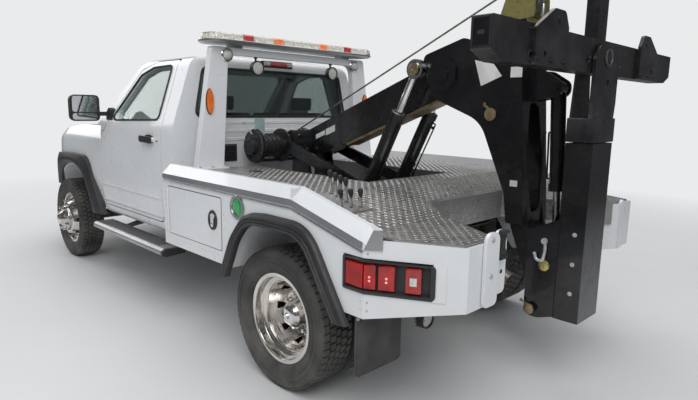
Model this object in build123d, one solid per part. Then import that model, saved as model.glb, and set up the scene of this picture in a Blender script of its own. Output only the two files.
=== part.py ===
from build123d import *
import os
from math import atan2, cos, degrees, hypot, radians, sin, tan

# Wrecker tow truck on a regular-cab chassis. Millimetres, +Z up, front towards -Y, left side +X.
# All stations below are measured from the front axle, on the ground. The whole truck is moved
# along Y when it is written, so that the origin lies under the middle of its length.

# Driving dimensions of the running gear
WHEELBASE = 3670
TYRE_R = 405
TYRE_HALF = 113
RIM_R = 248
RIM_HALF = 76
DISC_OFFSET = 127
FRONT_WHEEL_X = 964
DUAL_MID_X = 934
KINGPIN_X = 862
KINGPIN_R = 20
FORK_HALF = 38
FORK_TOP = 118
FORK_MOUTH = 82
HUB_HOLES = 8

# Ends of the truck, which give its origin
FRONT_END_Y = -950
REAR_END_Y = 4912
ORIGIN_Y = (FRONT_END_Y + REAR_END_Y) / 2

# Chassis frame
RAIL_X = 430
RAIL_DEPTH = 190
RAIL_FLANGE = 75
RAIL_WALL = 9
RAIL_TOP_LOW = 740
RAIL_TOP_HIGH = 830

# Cab
CAB_FRONT_Y = 640
CAB_BACK_Y = 2170
CAB_FLOOR_Z = 575
CAB_DECK_Z = 825
CAB_HALF = 1008
ROOF_Z = 1990
BELT_Z = 1400
DOOR_FRONT_Y = 792
DOOR_REAR_Y = 1988
DOOR_FOOT_Z = 660
DOOR_GAP = 8
DOOR_HINGE_X = 1018
DOOR_HINGE_Y = 782
DOOR_SWING_R = 1210
WALL = 95
GLASS = 6
HOOD_HINGE_Y = 634
HOOD_HINGE_Z = 1392
COWL_Z = HOOD_HINGE_Z + 6

# Wrecker body
BODY_HALF = 1190
BODY_FRONT_Y = 2418
BODY_CORNER_Y = 4360
BODY_TAIL_Y = 4767
TAIL_OUTER_X = 968
TAIL_INNER_X = 735
BODY_FOOT_Z = 618
DECK_Z = 1115
DECK_LOW_Z = 1000
DECK_BREAK_Y = 3840
DECK_FLAT_Y = 4300
DECK_EDGE_X = 1105
DECK_PLATE = 8
PIT_HALF = 420
PIT_REAR_Y = 3650
NOTCH_FRONT_Y = 4130
NOTCH_HALF = 400
SKIN = 22
LAMP_FOOT_Z = 742
LAMP_TOP_Z = 904

# Boom, arm and wheel lift, in the stowed pose
BOOM_PIVOT = (2620, 1225)
BOOM_HALF = 75
BOOM_SLOPE = degrees(atan2(388, 1000))
HEAD_SHEAVE = (4440, 2185)
LIFT_X = 172
LIFT_FOOT = (3380, 965)
LIFT_EYE = (3810, 1820)
LIFT_BARREL = 655
FOLD_TOP = (4655, 1700)
FOLD_FOOT = (4712, 746)
ARM_EYE = (4335, 1552)
FOLD_BARREL = 560
FOLD_PIN = (4650, 487)
ARM_IN = 120
ARM_OUT = 143
FOOT_IN = 80
FOOT_OUT = 102
LUG_IN = 108
LUG_OUT = 130
STINGER_HALF = 125
STINGER_FRONT_Y = 4772
STINGER_FOOT_Z = 462
STINGER_TOP_Z = 1416
INNER_HALF = 92
COLLAR_HALF = 137
HEAD_TOP_Z = 1544
CROSSBAR_HALF = 1080
CROSSBAR_LOW_Z = 1763
CROSSBAR_TOP_Z = 1930
CROSSBAR_BACK_Y = 4880
CROSSBAR_FRONT_Y = 4790
SWIVEL_Z = 1846
RECEIVER_TOP_Z = 2440
CHEEK_GAP = 5
SWIVEL_PIN_R = 26
OCTAGON_CENTRE = (3990, 1785)
OCTAGON_R = 108
WINCH_AXIS = (2362, 1262)
WINCH_DISC_R = 138
PIN_CLEARANCE = 0.06
TURN_CLEARANCE = 0.3

parts = {}


def keep(name, *shapes):
    """Adds solids to the node of this name."""
    for shape in shapes:
        parts.setdefault(name, []).extend(shape.solids())


def outline(corners):
    """A flat face from (u, v, radius) corners, in order, each corner rounded by its radius."""
    count = len(corners)
    trims = []
    for i, (u, v, radius) in enumerate(corners):
        here = Vector(u, v)
        to_last = (Vector(*corners[i - 1][:2]) - here).normalized()
        to_next = (Vector(*corners[(i + 1) % count][:2]) - here).normalized()
        if radius == 0:
            trims.append((here, here, None))
            continue
        half = radians(to_last.get_angle(to_next)) / 2
        cut = radius / tan(half)
        middle = (to_last + to_next).normalized()
        crown = here + middle * (radius / sin(half) - radius)
        trims.append((here + to_last * cut, here + to_next * cut, crown))
    edges = []
    for i, (start, end, crown) in enumerate(trims):
        if crown is not None:
            edges.append(Edge.make_three_point_arc(start, crown, end))
        following = trims[(i + 1) % count][0]
        if (following - end).length > 0.01:
            edges.append(Edge.make_line(end, following))
    return Face(Wire(edges))


def prism_x(corners, x0, x1):
    """Side outline, corners (y, z, radius), run from x0 to x1."""
    return extrude(Plane.YZ.offset(x0) * outline(corners), x1 - x0, dir=(1, 0, 0))


def prism_y(corners, y0, y1):
    """Front outline, corners (x, z, radius), run from y0 to y1."""
    plane = Plane(origin=(0, y1, 0), x_dir=(1, 0, 0), z_dir=(0, -1, 0))
    return extrude(plane * outline(corners), y1 - y0, dir=(0, -1, 0))


def prism_z(corners, z0, z1):
    """Plan outline, corners (x, y, radius), run from z0 to z1."""
    return extrude(Plane.XY.offset(z0) * outline(corners), z1 - z0, dir=(0, 0, 1))


def block(x0, x1, y0, y1, z0, z1):
    return Pos((x0 + x1) / 2, (y0 + y1) / 2, (z0 + z1) / 2) * Box(x1 - x0, y1 - y0, z1 - z0)


def rod_x(radius, x0, x1, y, z):
    return Pos((x0 + x1) / 2, y, z) * Rot(0, 90, 0) * Cylinder(radius, x1 - x0)


def rod_y(radius, x, y0, y1, z):
    return Pos(x, (y0 + y1) / 2, z) * Rot(90, 0, 0) * Cylinder(radius, y1 - y0)


def rod_z(radius, x, y, z0, z1):
    return Pos(x, y, (z0 + z1) / 2) * Cylinder(radius, z1 - z0)


def rod_between(radius, start, end):
    """Round bar from one point to another."""
    a, b = Vector(*start), Vector(*end)
    plane = Plane(origin=a, z_dir=b - a)
    return extrude(plane * Circle(radius), (b - a).length)


def turned_x(corners, x):
    """A ring or disc turned about the X axis, corners (offset outwards, radius, rounding)."""
    return Pos(x, 0, 0) * revolve(outline(corners), axis=Axis.X)


def flip(shape):
    """The same piece for the right-hand side."""
    return mirror(shape, about=Plane.YZ)


def both_sides(shape):
    return [shape, flip(shape)]


def mirrored_outline(half):
    """Closed corners from the right half of a front or plan outline, low to high."""
    return half + [(-u, v, r) for u, v, r in reversed(half) if u != 0]


# Running gear

def tyre(x):
    """Tyre of one wheel, hollow, its middle plane at x."""
    outer = [
        (-RIM_HALF + 0.2, RIM_R + 1.5, 0), (-RIM_HALF + 0.2, RIM_R + 14, 0),
        (-RIM_HALF - 10, RIM_R + 14, 3), (-TYRE_HALF, RIM_R + 44, 30), (-TYRE_HALF, TYRE_R - 50, 60),
        (-TYRE_HALF + 17, TYRE_R, 24), (TYRE_HALF - 17, TYRE_R, 24), (TYRE_HALF, TYRE_R - 50, 60),
        (TYRE_HALF, RIM_R + 44, 30), (RIM_HALF + 10, RIM_R + 14, 3),
        (RIM_HALF - 0.2, RIM_R + 14, 0), (RIM_HALF - 0.2, RIM_R + 1.5, 0),
        (RIM_HALF - 16, RIM_R + 1.5, 0), (TYRE_HALF - 16, RIM_R + 48, 16),
        (TYRE_HALF - 16, TYRE_R - 60, 40), (TYRE_HALF - 34, TYRE_R - 20, 14),
        (-TYRE_HALF + 34, TYRE_R - 20, 14), (-TYRE_HALF + 16, TYRE_R - 60, 40),
        (-TYRE_HALF + 16, RIM_R + 48, 16), (-RIM_HALF + 16, RIM_R + 1.5, 0),
    ]
    return turned_x(outer, x)


def wheel(x, side, dish):
    """Forged wheel: rim about x, its disc offset by dish (+1 outboard, -1 inboard), side is +1 or -1."""
    rim = [
        (-RIM_HALF, RIM_R + 1, 0), (-RIM_HALF, RIM_R + 13, 4), (-RIM_HALF - 8, RIM_R + 13, 3),
        (-RIM_HALF - 8, RIM_R - 14, 8), (-34, RIM_R - 14, 8), (-22, RIM_R - 46, 10),
        (22, RIM_R - 46, 10), (34, RIM_R - 14, 8), (RIM_HALF + 8, RIM_R - 14, 8),
        (RIM_HALF + 8, RIM_R + 13, 3), (RIM_HALF, RIM_R + 13, 4), (RIM_HALF, RIM_R + 1, 0),
        (36, RIM_R - 4, 6), (26, RIM_R - 36, 8), (-26, RIM_R - 36, 8), (-36, RIM_R - 4, 6),
    ]
    face = DISC_OFFSET
    disc = [
        (20, RIM_R - 34, 0), (44, RIM_R - 44, 8), (face, 156, 30), (face, 62, 0),
        (face - 20, 62, 0), (face - 20, 150, 26), (24, RIM_R - 62, 8), (-12, RIM_R - 50, 0),
        (-12, RIM_R - 38, 0),
    ]
    body = turned_x(rim, 0) + turned_x(disc, 0)
    holes = [
        Rot(360 / HUB_HOLES * i, 0, 0) * rod_x(23, 40, face + 5, 0, 181) for i in range(HUB_HOLES)
    ]
    body -= holes
    if side * dish < 0:
        body = flip(body)
    return Pos(x, 0, 0) * body


def hub_cover(x, side, reach):
    """Bright cover over the wheel nuts and hub, its foot on the disc at x."""
    cover = [
        (0, 0, 0), (0, 132, 0), (26, 128, 12), (34, 92, 14), (reach - 26, 74, 20), (reach, 52, 16),
        (reach, 0, 0),
    ]
    body = turned_x(cover, 0)
    if side < 0:
        body = flip(body)
    return Pos(x, 0, 0) * body


def wheels():
    for name, side in (("left", 1), ("right", -1)):
        front = Pos(side * FRONT_WHEEL_X, 0, TYRE_R)
        keep("tyre_front_" + name, front * tyre(0))
        disc_x = side * DISC_OFFSET
        keep("wheel_front_" + name, front * (wheel(0, side, 1) + hub_cover(disc_x, side, 78)))
        rear = Pos(0, WHEELBASE, TYRE_R)
        outer_x, inner_x = side * (DUAL_MID_X + DISC_OFFSET), side * (DUAL_MID_X - DISC_OFFSET)
        keep("tyres_rear_" + name, rear * tyre(outer_x), rear * tyre(inner_x))
        pair = wheel(outer_x, side, -1) + wheel(inner_x, side, 1)
        pair += hub_cover(side * (DUAL_MID_X + 19), side, 128)
        keep("wheels_rear_" + name, rear * pair)


def axles():
    beam = rod_x(48, -KINGPIN_X + 70, KINGPIN_X - 70, 0, TYRE_R)
    pumpkin = [(-150, -95, 60), (150, -95, 60), (150, 95, 60), (-150, 95, 60)]
    beam += Pos(-250, 0, TYRE_R) * extrude(Plane.XZ.offset(-130) * outline(pumpkin), 260)
    low, high = TYRE_R - FORK_TOP, TYRE_R + FORK_TOP
    fork = block(KINGPIN_X - 92, KINGPIN_X, -FORK_HALF, FORK_HALF, low, high)
    fork += rod_z(FORK_HALF, KINGPIN_X, 0, low, high)
    fork -= block(KINGPIN_X - 60, KINGPIN_X + 60, -60, 60, TYRE_R - FORK_MOUTH, TYRE_R + FORK_MOUTH)
    fork += rod_z(KINGPIN_R, KINGPIN_X, 0, low - 8, high + 8)
    fork += block(RAIL_X + 15, RAIL_X + 95, -60, 60, TYRE_R + 20, TYRE_R + 58)
    for piece in both_sides(fork):
        beam += piece
    keep("front_axle", beam)
    for name, side in (("left", 1), ("right", -1)):
        knuckle = rod_z(50, KINGPIN_X, 0, TYRE_R - 76, TYRE_R + 76)
        knuckle += block(KINGPIN_X, KINGPIN_X + 52, -50, 50, TYRE_R - 76, TYRE_R + 76)
        knuckle -= rod_z(KINGPIN_R + TURN_CLEARANCE, KINGPIN_X, 0, 0, 2 * TYRE_R)
        knuckle += rod_x(118, KINGPIN_X + 44, KINGPIN_X + 76, 0, TYRE_R)
        knuckle += rod_x(58, KINGPIN_X + 60, FRONT_WHEEL_X + DISC_OFFSET - 21, 0, TYRE_R)
        knuckle += prism_z([(KINGPIN_X - 20, 40, 0), (KINGPIN_X + 20, 40, 0), (KINGPIN_X + 20, 190, 19),
                            (KINGPIN_X - 20, 190, 19)], TYRE_R - 60, TYRE_R - 36)
        keep("knuckle_" + name, knuckle if side > 0 else flip(knuckle))
    housing = rod_x(66, -DUAL_MID_X + 110, DUAL_MID_X - 110, WHEELBASE, TYRE_R)
    bell = [(-170, 0, 0), (-170, 70, 20), (-120, 175, 60), (120, 175, 60),
            (170, 70, 20), (170, 0, 0)]
    housing += Pos(0, WHEELBASE, TYRE_R) * revolve(outline(bell), axis=Axis.X)
    housing += rod_y(58, 0, WHEELBASE - 330, WHEELBASE - 100, TYRE_R)
    for side in (1, -1):
        stub = rod_x(60, DUAL_MID_X - 130, DUAL_MID_X - 22, WHEELBASE, TYRE_R)
        pad = block(RAIL_X + 10, RAIL_X + 90, WHEELBASE - 70, WHEELBASE + 70, TYRE_R + 40, TYRE_R + 88)
        housing += stub if side > 0 else flip(stub)
        housing += pad if side > 0 else flip(pad)
    keep("rear_axle", housing)


def leaf_pack(y_mid, z_axle, reach, rise, leaves, x0, x1):
    """Arched pack of leaves over an axle, each leaf shorter than the one above it."""
    top = z_axle + leaves * 12
    radius = (reach * reach + rise * rise) / (2 * rise)
    pack = None
    for i in range(leaves):
        half = reach * (1 - 0.17 * i)
        outer = radius + (i + 1) * 12
        ring = Pos(0, y_mid, top + radius) * Rot(0, 90, 0) * (
            Cylinder(outer, 4 * radius) - Cylinder(outer - 12.5, 4 * radius))
        leaf = ring & block(x0, x1, y_mid - half, y_mid + half, z_axle - 20, top + rise)
        pack = leaf if pack is None else pack + leaf
    return pack


def springs():
    for side in (1, -1):
        front = leaf_pack(0, TYRE_R + 58, 620, 90, 3, RAIL_X + 20, RAIL_X + 90)
        rear = leaf_pack(WHEELBASE, TYRE_R + 88, 700, 100, 4, RAIL_X + 12, RAIL_X + 88)
        for pack in (front, rear):
            keep("leaf_springs", pack if side > 0 else flip(pack))


def rail_band(top_low, top_high, depth):
    """Side outline of a frame rail: level under the cab, kicked up behind it."""
    return [
        (-780, top_low, 0), (2150, top_low, 300), (2500, top_high, 300), (4080, top_high, 0),
        (4080, top_high - depth, 0), (2540, top_high - depth, 300), (2190, top_low - depth, 300),
        (-780, top_low - depth, 0),
    ]


def chassis():
    solid = prism_x(rail_band(RAIL_TOP_LOW, RAIL_TOP_HIGH, RAIL_DEPTH), RAIL_X - RAIL_FLANGE, RAIL_X)
    hollow = prism_x(
        rail_band(RAIL_TOP_LOW - RAIL_WALL, RAIL_TOP_HIGH - RAIL_WALL, RAIL_DEPTH - 2 * RAIL_WALL),
        RAIL_X - RAIL_FLANGE - 10, RAIL_X - RAIL_WALL)
    rail = solid - hollow
    keep("frame_rails", *both_sides(rail))
    half = RAIL_X - RAIL_WALL - 1
    members = [
        # station, top of the rail there, depth of the member
        (-700, RAIL_TOP_LOW, 110), (1240, RAIL_TOP_LOW, 50), (1900, RAIL_TOP_LOW, 110),
        (2900, RAIL_TOP_HIGH, 110), (3330, RAIL_TOP_HIGH, 110), (4000, RAIL_TOP_HIGH, 110),
    ]
    for y, top, depth in members:
        member = block(-half, half, y - 45, y + 45, top - 20 - depth, top - 20)
        member -= block(-half - 5, half + 5, y - 36, y + 60, top - 11 - depth, top - 29)
        keep("frame_crossmembers", member)


def powertrain():
    engine = block(-300, 300, -380, 400, 560, 1090)
    engine += block(-170, 170, 396, 1150, 490, 750)
    keep("engine_block", engine)
    shaft = rod_between(45, (0, 1156, 610), (0, WHEELBASE - 338, TYRE_R + 4))
    keep("drive_shaft", shaft)
    tank = prism_y([(-850, 470, 70), (-480, 470, 70), (-480, 690, 50), (-850, 690, 50)], 1190, 1930)
    keep("fuel_tank", tank)
    route = [(-222, 480, 540), (-222, 2860, 540), (-222, 3120, 610), (-232, 3420, 636),
             (-232, 3900, 636), (-262, 4120, 570), (-282, 4290, 480)]
    pipe = rod_between(105, (-222, 1310, 540), (-222, 1830, 540))
    for start, end in zip(route, route[1:]):
        pipe += rod_between(45, start, end)
    for joint in route[1:-1]:
        pipe += Pos(*joint) * Sphere(45)
    bore = rod_between(41, route[-2], (-284, 4300, 475))
    pipe -= bore
    keep("exhaust_pipe", pipe)


# Cab

def cab_across(inset):
    """The cab's front outline run along its length, moved in by inset."""
    front = outline(mirrored_outline([
        (975, CAB_FLOOR_Z, 50), (CAB_HALF, 900, 900), (988, BELT_Z, 300), (802, 1945, 130),
        (0, ROOF_Z + 6, 3000),
    ]))
    if inset:
        front = offset(front, -inset, kind=Kind.INTERSECTION)
    back = Plane(origin=(0, 2300, 0), x_dir=(1, 0, 0), z_dir=(0, -1, 0))
    return extrude(back * front, 1900, dir=(0, -1, 0))


def cab_solid(inset):
    """The cab's outer form, or the same form moved in by an equal amount all round."""
    side = outline([
        (CAB_FRONT_Y, CAB_FLOOR_Z, 30), (CAB_FRONT_Y, COWL_Z - 18, 30), (720, COWL_Z, 40),
        (1345, 1925, 260),
        (1640, ROOF_Z, 900), (CAB_BACK_Y - 10, ROOF_Z - 18, 90), (CAB_BACK_Y, BELT_Z, 400),
        (CAB_BACK_Y, CAB_FLOOR_Z, 40),
    ])
    if inset:
        side = offset(side, -inset, kind=Kind.INTERSECTION)
    along = extrude(Plane.YZ.offset(-1100) * side, 2200, dir=(1, 0, 0))
    return along & cab_across(inset)


def door_corners(grow):
    """Door outline seen from the side, larger or smaller all round by grow."""
    return [
        (DOOR_FRONT_Y - grow, DOOR_FOOT_Z - grow, 40), (DOOR_FRONT_Y - grow, 1312 + grow, 30),
        (872 - grow * 0.4, 1345 + grow, 60), (1368 - grow * 0.5, 1862 + grow, 150),
        (1600, 1925 + grow, 300), (DOOR_REAR_Y + grow, 1925 + grow, 70 - 3 * grow),
        (DOOR_REAR_Y + grow, DOOR_FOOT_Z - grow, 70),
    ]


def door_sweep(grow):
    """Space that the door sweeps as it swings, for its rear shut face and the pillar's."""
    return rod_z(DOOR_SWING_R + grow, DOOR_HINGE_X, DOOR_HINGE_Y, 500, 2100)


DOOR_WINDOW = [(1010, 1436, 50), (1385, 1822, 120), (1590, 1878, 200), (1905, 1884, 50),
               (1915, 1462, 50)]


def cab():
    full = cab_solid(0)
    room = cab_solid(60) & block(-1100, 1100, 700, 2110, CAB_DECK_Z, 2100)
    room = room & prism_y(mirrored_outline([(912, 640, 0), (912, BELT_Z, 200), (742, 1940, 60)]),
                          600, 2200)
    shell = full - room
    shell -= block(-870, 870, 600, 2300, 500, CAB_DECK_Z - 50)
    shell -= block(-872, 872, 600, 700, COWL_Z - 88, COWL_Z + 22)
    for corner in both_sides(block(898, 1100, 600, DOOR_HINGE_Y, 500, COWL_Z - 10)):
        shell -= corner
    windscreen = prism_y(mirrored_outline([(800, COWL_Z + 32, 70), (690, 1878, 90)]), 600, 1500)
    rear_light = prism_y(mirrored_outline([(792, 1492, 50), (716, 1868, 60)]), 2000, 2300)
    shell -= windscreen
    shell -= rear_light
    opening = prism_x(door_corners(DOOR_GAP), 500, 1200) - cab_across(WALL + DOOR_GAP)
    opening = opening & door_sweep(DOOR_GAP)
    for hole in both_sides(opening):
        shell -= hole
    keep("cab_shell", shell)
    layer = cab_solid(22) - cab_solid(22 + GLASS)
    keep("cab_glass", layer & windscreen, layer & rear_light)


def doors():
    window = prism_x(DOOR_WINDOW, 500, 1200)
    panel = (cab_solid(0) & prism_x(door_corners(0), 500, 1200)) - cab_across(WALL) - window
    panel -= block(400, 905, 700, 2100, 600, 1000)
    panel = panel & door_sweep(0)
    glass = (cab_across(28) - cab_across(28 + GLASS)) & window
    handle = prism_x([(1690, 1292, 14), (1880, 1286, 14), (1880, 1322, 14), (1690, 1328, 14)],
                     990, 1030)
    handle -= block(1006, 1016, 1715, 1860, 1270, 1340)
    panel += handle
    arm = prism_z([(960, 1010, 10), (1090, 940, 20), (1090, 985, 20), (990, 1075, 10)], 1452, 1486)
    head = prism_y([(1070, 1370, 30), (1320, 1370, 40), (1320, 1600, 40), (1070, 1600, 30)],
                   930, 1015)
    mirror_head = head + (arm - cab_across(-0.3))
    for name, side in (("left", 1), ("right", -1)):
        keep("door_" + name, panel if side > 0 else flip(panel))
        keep("door_glass_" + name, glass if side > 0 else flip(glass))
        keep("mirror_" + name, mirror_head if side > 0 else flip(mirror_head))


def cabin_inside():
    side = [(1470, 850, 40), (1900, 835, 40), (2050, 1500, 60), (1985, 1600, 50), (1900, 1590, 40),
            (1800, 1060, 70), (1430, 1080, 60)]
    seat = prism_x(side, 140, 720)
    keep("seats", seat, flip(seat), prism_x(side, -125, 125))
    dash = [(770, 960, 30), (790, 1215, 40), (930, 1262, 60), (1085, 1190, 60), (1060, 1010, 40)]
    panel = prism_x(dash, -850, 850)
    column = rod_between(24, (430, 1040, 1100), (430, 1200, 1166))
    rim = Torus(188, 15) + Box(366, 34, 14) + Cylinder(46, 22)
    hand_wheel = Plane(origin=(430, 1205, 1170), z_dir=(0, 165, 70)) * rim
    keep("dashboard", panel + column + hand_wheel)


def clip_solid(inset):
    """The nose's outer form, ahead of the cab."""
    side = outline([
        (-810, 600, 30), (-838, 1120, 110), (-770, 1300, 130), (-450, 1345, 700), (780, COWL_Z, 0),
        (780, 600, 0),
    ])
    front = outline(mirrored_outline([
        (958, 600, 0), (1000, 900, 500), (985, 1260, 110), (900, 1368, 120), (0, 1418, 3000),
    ]))
    if inset:
        side = offset(side, -inset, kind=Kind.INTERSECTION)
        front = offset(front, -inset, kind=Kind.INTERSECTION)
    along = extrude(Plane.YZ.offset(-1100) * side, 2200, dir=(1, 0, 0))
    back = Plane(origin=(0, 900, 0), x_dir=(1, 0, 0), z_dir=(0, -1, 0))
    across = extrude(back * front, 1800, dir=(0, -1, 0))
    return along & across


def nose():
    walls = clip_solid(0) - clip_solid(32)
    hood_plan = mirrored_outline([(840, -735, 60), (870, HOOD_HINGE_Y - 2, 0)])
    hood = walls & prism_z(hood_plan, 1230, 1450)
    hood_gap = mirrored_outline([(846, -741, 60), (876, HOOD_HINGE_Y - 2, 0),
                                 (876, HOOD_HINGE_Y + 400, 0)])
    rest = walls - prism_z(hood_gap, 1210, 1450)
    rest -= block(-900, 900, 600, 900, 500, 1450)
    rest -= block(-1100, 1100, DOOR_HINGE_Y - 4, 900, 500, 1450)
    rest -= block(-1100, 1100, -900, -560, 500, 702)
    rest -= block(-900, 900, -900, 800, 560, 640)
    arch = rod_x(545, -1100, 1100, 0, TYRE_R + 5)
    rest -= arch
    grille_hole = prism_y(mirrored_outline([(560, 700, 40), (590, 1190, 60)]), -900, -700)
    lamp_hole = prism_y([(606, 960, 30), (935, 970, 30), (925, 1175, 60), (606, 1185, 30)],
                        -900, -640)
    rest -= grille_hole
    for hole in both_sides(lamp_hole):
        rest -= hole
    liner = (rod_x(560, 560, 970, 0, TYRE_R + 5) - arch) & block(500, 1000, -600, 600, 620, 1100)
    sides = rest
    for piece in both_sides(liner):
        sides += piece
    keep("front_fenders", sides)
    keep("hood", hood)
    frame = prism_y(mirrored_outline([(552, 708, 34), (582, 1182, 54)]), -846, -786)
    frame -= prism_y(mirrored_outline([(512, 748, 24), (540, 1142, 40)]), -900, -700)
    for i in range(6):
        z = 790 + 62 * i
        frame += block(-535, 535, -830, -800, z - 11, z + 11)
    frame += block(-14, 14, -828, -800, 730, 1165)
    keep("grille", frame)
    lamp = prism_y([(612, 966, 26), (928, 976, 26), (918, 1169, 56), (612, 1179, 26)], -834, -700)
    lamp = lamp & clip_solid(2)
    keep("headlamps", *both_sides(lamp))
    keep("front_bumper", bumper_solid())


def bumper_solid():
    """Front bumper: a deep pressed beam, its ends swept back."""
    outer = [(-990, -610, 20), (-990, -790, 120), (-700, -950, 300), (700, -950, 300),
             (990, -790, 120), (990, -610, 20)]
    inner = [(930, -610, 10), (930, -770, 90), (680, -885, 260), (-680, -885, 260),
             (-930, -770, 90), (-930, -610, 10)]
    beam = prism_z(outer + inner, 480, 690)
    beam -= prism_y(mirrored_outline([(420, 520, 20), (420, 600, 20)]), -1000, -800)
    for side in (1, -1):
        arm = block(RAIL_X - 60, RAIL_X - 12, -890, -780.2, 560, 680)
        beam += arm if side > 0 else flip(arm)
    return beam


def flares():
    """Dark lips round the front wheel arches, fuller at the edge of the opening."""
    band = [(-760, 545, 20), (-742, 700, 0), (-470, 1085, 210), (0, 1110, 900), (440, 1085, 240),
            (735, 620, 60), (800, 545, 20)]
    for side in (1, -1):
        outer = prism_x(band, 962, 1062)
        outer -= rod_x(560, 900, 1100, 0, TYRE_R + 5)
        outer -= block(900, 1100, -900, -500, 500, 702)
        outer -= clip_solid(0)
        outer -= cab_across(0)
        keep("arch_flares", outer if side > 0 else flip(outer))


def running_boards():
    for side in (1, -1):
        board = prism_y([(960, 360, 12), (1150, 352, 22), (1160, 400, 16), (960, 412, 12)],
                        905, 2250)
        for y in (1130, 1990):
            board += prism_y([(700, 520, 0), (980, 365, 0), (1080, 365, 0), (1080, 400, 0),
                              (700, 560, 0)], y - 25, y + 25)
        for y in (1130, 1990):
            board += block(RAIL_X + 1, 720, y - 25, y + 25, 560, 620)
            board += block(690, 720, y - 25, y + 25, 520, 620)
        keep("running_boards", board if side > 0 else flip(board))


# Wrecker body

ARCH_OUTER = [(3150, 540, 0), (3318, 1003, 210), (3985, 1003, 260), (4290, 540, 0)]
ARCH_INNER = [(3232, 530, 0), (3390, 928, 160), (3935, 928, 200), (4200, 530, 0)]


def deck_line(drop):
    """Side line of the deck or rail, from the front corner to the tail, lowered by drop."""
    return [(BODY_FRONT_Y, DECK_Z - drop), (DECK_BREAK_Y, DECK_Z - drop),
            (DECK_FLAT_Y, DECK_LOW_Z - drop), (BODY_TAIL_Y, DECK_LOW_Z - drop)]


def deck_height(y):
    """Height of the deck plate's top at a station on its level or its sloping stretch."""
    share = max(0, (y - DECK_BREAK_Y) / (DECK_FLAT_Y - DECK_BREAK_Y))
    return DECK_Z - share * (DECK_Z - DECK_LOW_Z)


def body_sides():
    """Tool-box bodies with wheel housings, and the folded tail panels behind the wheels."""
    plan = [(560, BODY_FRONT_Y, 0), (BODY_HALF, BODY_FRONT_Y, 0), (BODY_HALF, BODY_CORNER_Y, 0),
            (TAIL_OUTER_X, BODY_TAIL_Y, 0), (TAIL_INNER_X + 12, BODY_TAIL_Y, 0), (576, 4400, 0),
            (560, 4300, 0)]
    inner_plan = [(560 + SKIN, BODY_FRONT_Y + SKIN, 0), (BODY_HALF - SKIN, BODY_FRONT_Y + SKIN, 0),
                  (BODY_HALF - SKIN, BODY_CORNER_Y - 8, 0), (TAIL_OUTER_X - 12, BODY_TAIL_Y - SKIN, 0),
                  (TAIL_INNER_X + 26, BODY_TAIL_Y - SKIN, 0), (576 + SKIN, 4395, 0),
                  (560 + SKIN, 4300, 0)]
    top = [(y, z - DECK_PLATE - 0.2, 0) for y, z in deck_line(0)]
    side_view = top + [(BODY_TAIL_Y, 700, 0), (BODY_CORNER_Y, BODY_FOOT_Z, 0),
                       (BODY_FRONT_Y, BODY_FOOT_Z, 0)]
    for name, side in (("left", 1), ("right", -1)):
        full = prism_z(plan, 500, 1200) & prism_x(side_view, 500, 1200)
        hollow = prism_z(inner_plan, BODY_FOOT_Z + SKIN, 1300)
        shell = full - hollow
        shell += block(560, BODY_HALF - 5, 3196, 3218, BODY_FOOT_Z, DECK_Z - 12) & full
        shell -= prism_x(ARCH_INNER, 540, 1300)
        cover = prism_x([(3210, 530, 0), (3372, 950, 180), (3955, 950, 220), (4226, 530, 0)],
                        562, BODY_HALF - 4) - prism_x(ARCH_INNER, 500, 1300)
        shell += cover & block(500, 1300, 3000, 4400, BODY_FOOT_Z, 1200)
        shell -= prism_x([(2483, 700, 12), (3165, 700, 12), (3165, 1030, 12), (2483, 1030, 12)],
                         BODY_HALF - 100, BODY_HALF + 50)
        shell -= lamp_recess()
        shell += prism_y([(752, 700, 12), (812, 700, 12), (812, 1020, 29), (752, 1020, 29)],
                         BODY_TAIL_Y - 2, BODY_TAIL_Y + 14)
        keep("body_" + name, shell if side > 0 else flip(shell))


def lamp_recess():
    """Cut-out for the tail lamp, round the rear corner of the body."""
    tall = prism_z([(BODY_HALF + 60, 4228, 0), (BODY_HALF + 60, BODY_CORNER_Y + 40, 0),
                    (1040, 4700, 0), (990, 4668, 0), (1150, 4362, 0), (1150, 4228, 0)], 738, 908)
    return tall


def tail_lamps():
    """Lamp trays round the rear corners, each with three lenses standing in a sunken face."""
    plan = [(BODY_HALF + 6, 4232, 3), (BODY_HALF + 6, BODY_CORNER_Y + 1, 10), (1022, 4680, 3),
            (1003, 4669, 3), (1158, BODY_CORNER_Y + 2, 6), (1158, 4232, 3)]
    tray = prism_z(plan, LAMP_FOOT_Z, LAMP_TOP_Z)
    sunk = [(BODY_HALF + 30, 4246, 0), (BODY_HALF + 30, BODY_CORNER_Y + 9, 0), (1058, 4672, 0),
            (1024, 4652, 0), (BODY_HALF - 10, BODY_CORNER_Y - 3, 0), (BODY_HALF - 10, 4246, 0)]
    tray -= prism_z(sunk, LAMP_FOOT_Z + 14, LAMP_TOP_Z - 14)
    along = Plane(origin=(BODY_HALF + 6, BODY_CORNER_Y + 1, (LAMP_FOOT_Z + LAMP_TOP_Z) / 2),
                  x_dir=(1022 - BODY_HALF - 6, 4680 - BODY_CORNER_Y - 1, 0), z_dir=(0, 0, 1))
    tall = LAMP_TOP_Z - LAMP_FOOT_Z - 30
    # how far along the slanted face each lens starts and ends
    for start, end in ((2, 56), (68, 142), (192, 262)):
        tray += along * Pos((start + end) / 2, 11, 0) * Box(end - start, 14, tall)
    tray += block(BODY_HALF - 12, BODY_HALF + 3, 4258, BODY_CORNER_Y - 4, LAMP_FOOT_Z + 15,
                  LAMP_TOP_Z - 15)
    keep("tail_lamps", *both_sides(tray))


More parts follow.
